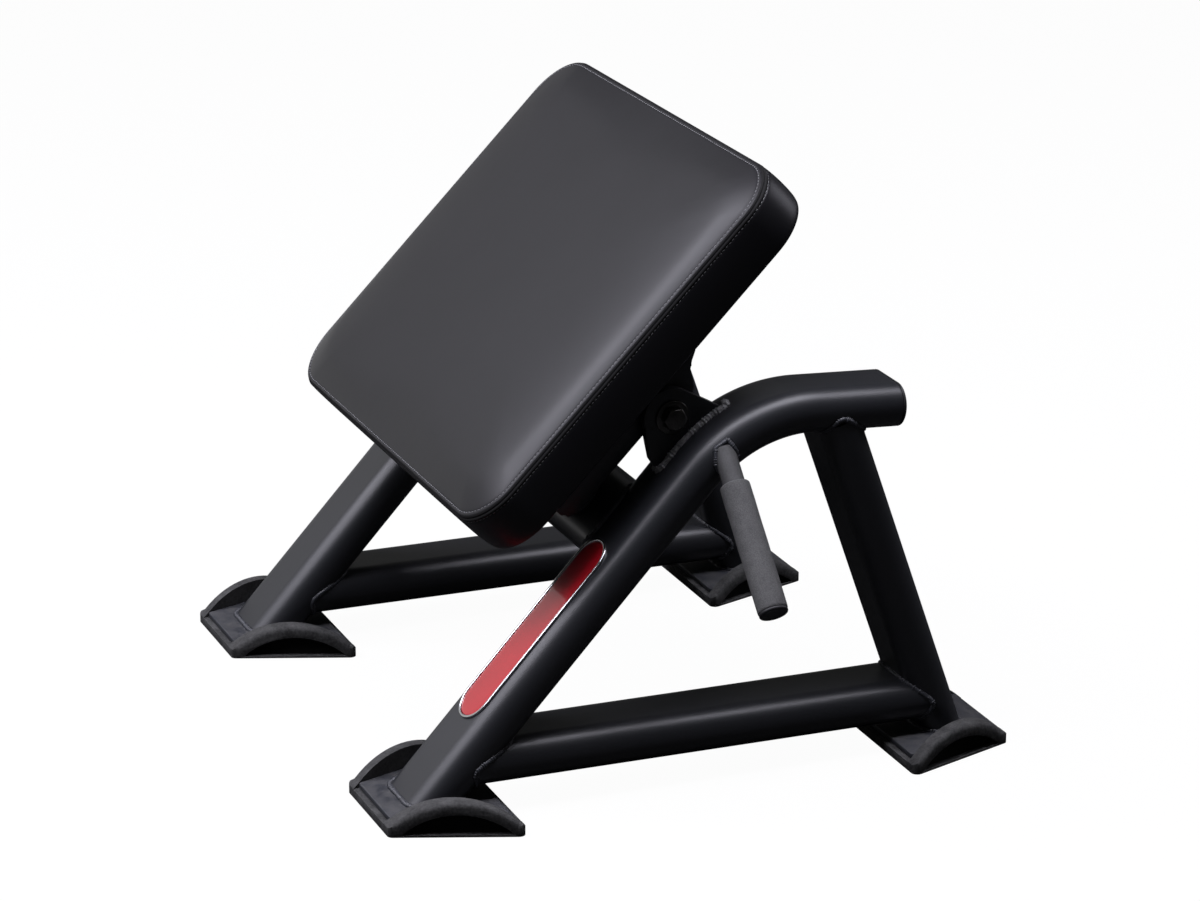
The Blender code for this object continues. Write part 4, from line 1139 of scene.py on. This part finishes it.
def stage_world():
    """A dim room, white to the camera, with a low pale wall behind the bench that only mirrored rays see."""
    world = bpy.data.worlds.new("studio")
    world.use_nodes = True
    bpy.context.scene.world = world
    tree = world.node_tree
    room = tree.nodes["Background"]
    fill(tree, room, {"Color": WHITE, "Strength": 0.036})
    white = add(tree, "ShaderNodeBackground", {"Color": WHITE, "Strength": 1.0})
    wall = product(tree, along_axis(tree, "Z", 0.75, 0.22), 0.48, along_axis(tree, "X", 0.1, -0.3),
                   along_axis(tree, "Y", 0.45, -0.10))
    shown_by_share(tree, background_share(tree, wall), room.outputs["Background"], white, "World Output")


# Name, place, what it points at, width, height and power
LAMPS = (
    ("overhead_softbox", (0.52, -0.2, 3.0), (0.52, -0.201, 0.0), 0.95, 3.6, 108),
    ("front_softbox", (-0.15, -2.85, 2.55), (0.0, 0.0, 0.3), 1.8, 0.7, 36),
    ("left_softbox", (-1.5, -1.9, 2.8), (0.0, 0.0, 0.45), 1.5, 1.7, 78),
    ("back_softbox", (-0.3, 3.4, 1.7), (0.0, 0.2, 0.35), 1.6, 1.2, 15),
)


def lamp(name, place, target, wide, tall, power):
    data = bpy.data.lights.new(name, "AREA")
    made = linked(name, tuned(data, shape="RECTANGLE", size=wide, size_y=tall, energy=power, color=(0.90, 0.89, 1.0)))
    made.location = place
    made.rotation_euler = (Vector(target) - Vector(place)).to_track_quat("-Z", "Y").to_euler()
    made.visible_camera = False


def stage_camera():
    """The camera at the photo's angle."""
    data = bpy.data.cameras.new("camera")
    camera = linked("camera", tuned(data, sensor_width=36.0, lens=128.06, clip_start=0.1, clip_end=100.0))
    right, up = Vector((0.3670, 0.9302, 0.0)), Vector((-0.2913, 0.1149, 0.9497))
    back = right.cross(up).normalized()
    up = back.cross(right).normalized()
    camera.matrix_world = axes(right.normalized(), up, back, Vector((4.4265, -1.73155, 1.8547)))
    return camera


class BENCH_OT_stage(bpy.types.Operator):
    """Makes the floor, the soft studio light and the camera"""

    bl_idname = "bench.stage"
    bl_label = "Stage"

    def execute(self, context):
        stage_floor()
        stage_world()
        for values in LAMPS:
            lamp(*values)
        context.scene.camera = stage_camera()
        context.scene.view_settings.view_transform = "Standard"
        return {"FINISHED"}


OPERATORS = (
    BENCH_OT_tubes, BENCH_OT_end_caps, BENCH_OT_feet, BENCH_OT_pivots, BENCH_OT_carrier, BENCH_OT_pegs,
    BENCH_OT_name_plate, BENCH_OT_welds, BENCH_OT_cushion, BENCH_OT_stitching, BENCH_OT_stage,
)


class BENCH_PT_panel(bpy.types.Panel):
    """Lists the bench's sizes, colours and pieces"""

    bl_label = "Hip Thrust Bench"
    bl_idname = "BENCH_PT_panel"
    bl_space_type = "VIEW_3D"
    bl_region_type = "UI"
    bl_category = "Bench"

    def draw(self, context):
        layout = self.layout
        for settings in (context.scene.bench_sizes, context.scene.bench_colours):
            column = layout.column()
            for name in settings.__annotations__:
                column.prop(settings, name)
        for operator in OPERATORS:
            layout.operator(operator.bl_idname)


CLASSES = (BenchSizes, BenchColours, *OPERATORS, BENCH_PT_panel)


def register():
    for item in CLASSES:
        bpy.utils.register_class(item)
    bpy.types.Scene.bench_sizes = bpy.props.PointerProperty(type=BenchSizes)
    bpy.types.Scene.bench_colours = bpy.props.PointerProperty(type=BenchColours)


def unregister():
    del bpy.types.Scene.bench_colours
    del bpy.types.Scene.bench_sizes
    for item in reversed(CLASSES):
        bpy.utils.unregister_class(item)


def main():
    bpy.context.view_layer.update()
    register()
    for operator in OPERATORS:
        group, name = operator.bl_idname.split(".")
        getattr(getattr(bpy.ops, group), name)()
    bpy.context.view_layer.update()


if __name__ == "__main__":
    main()
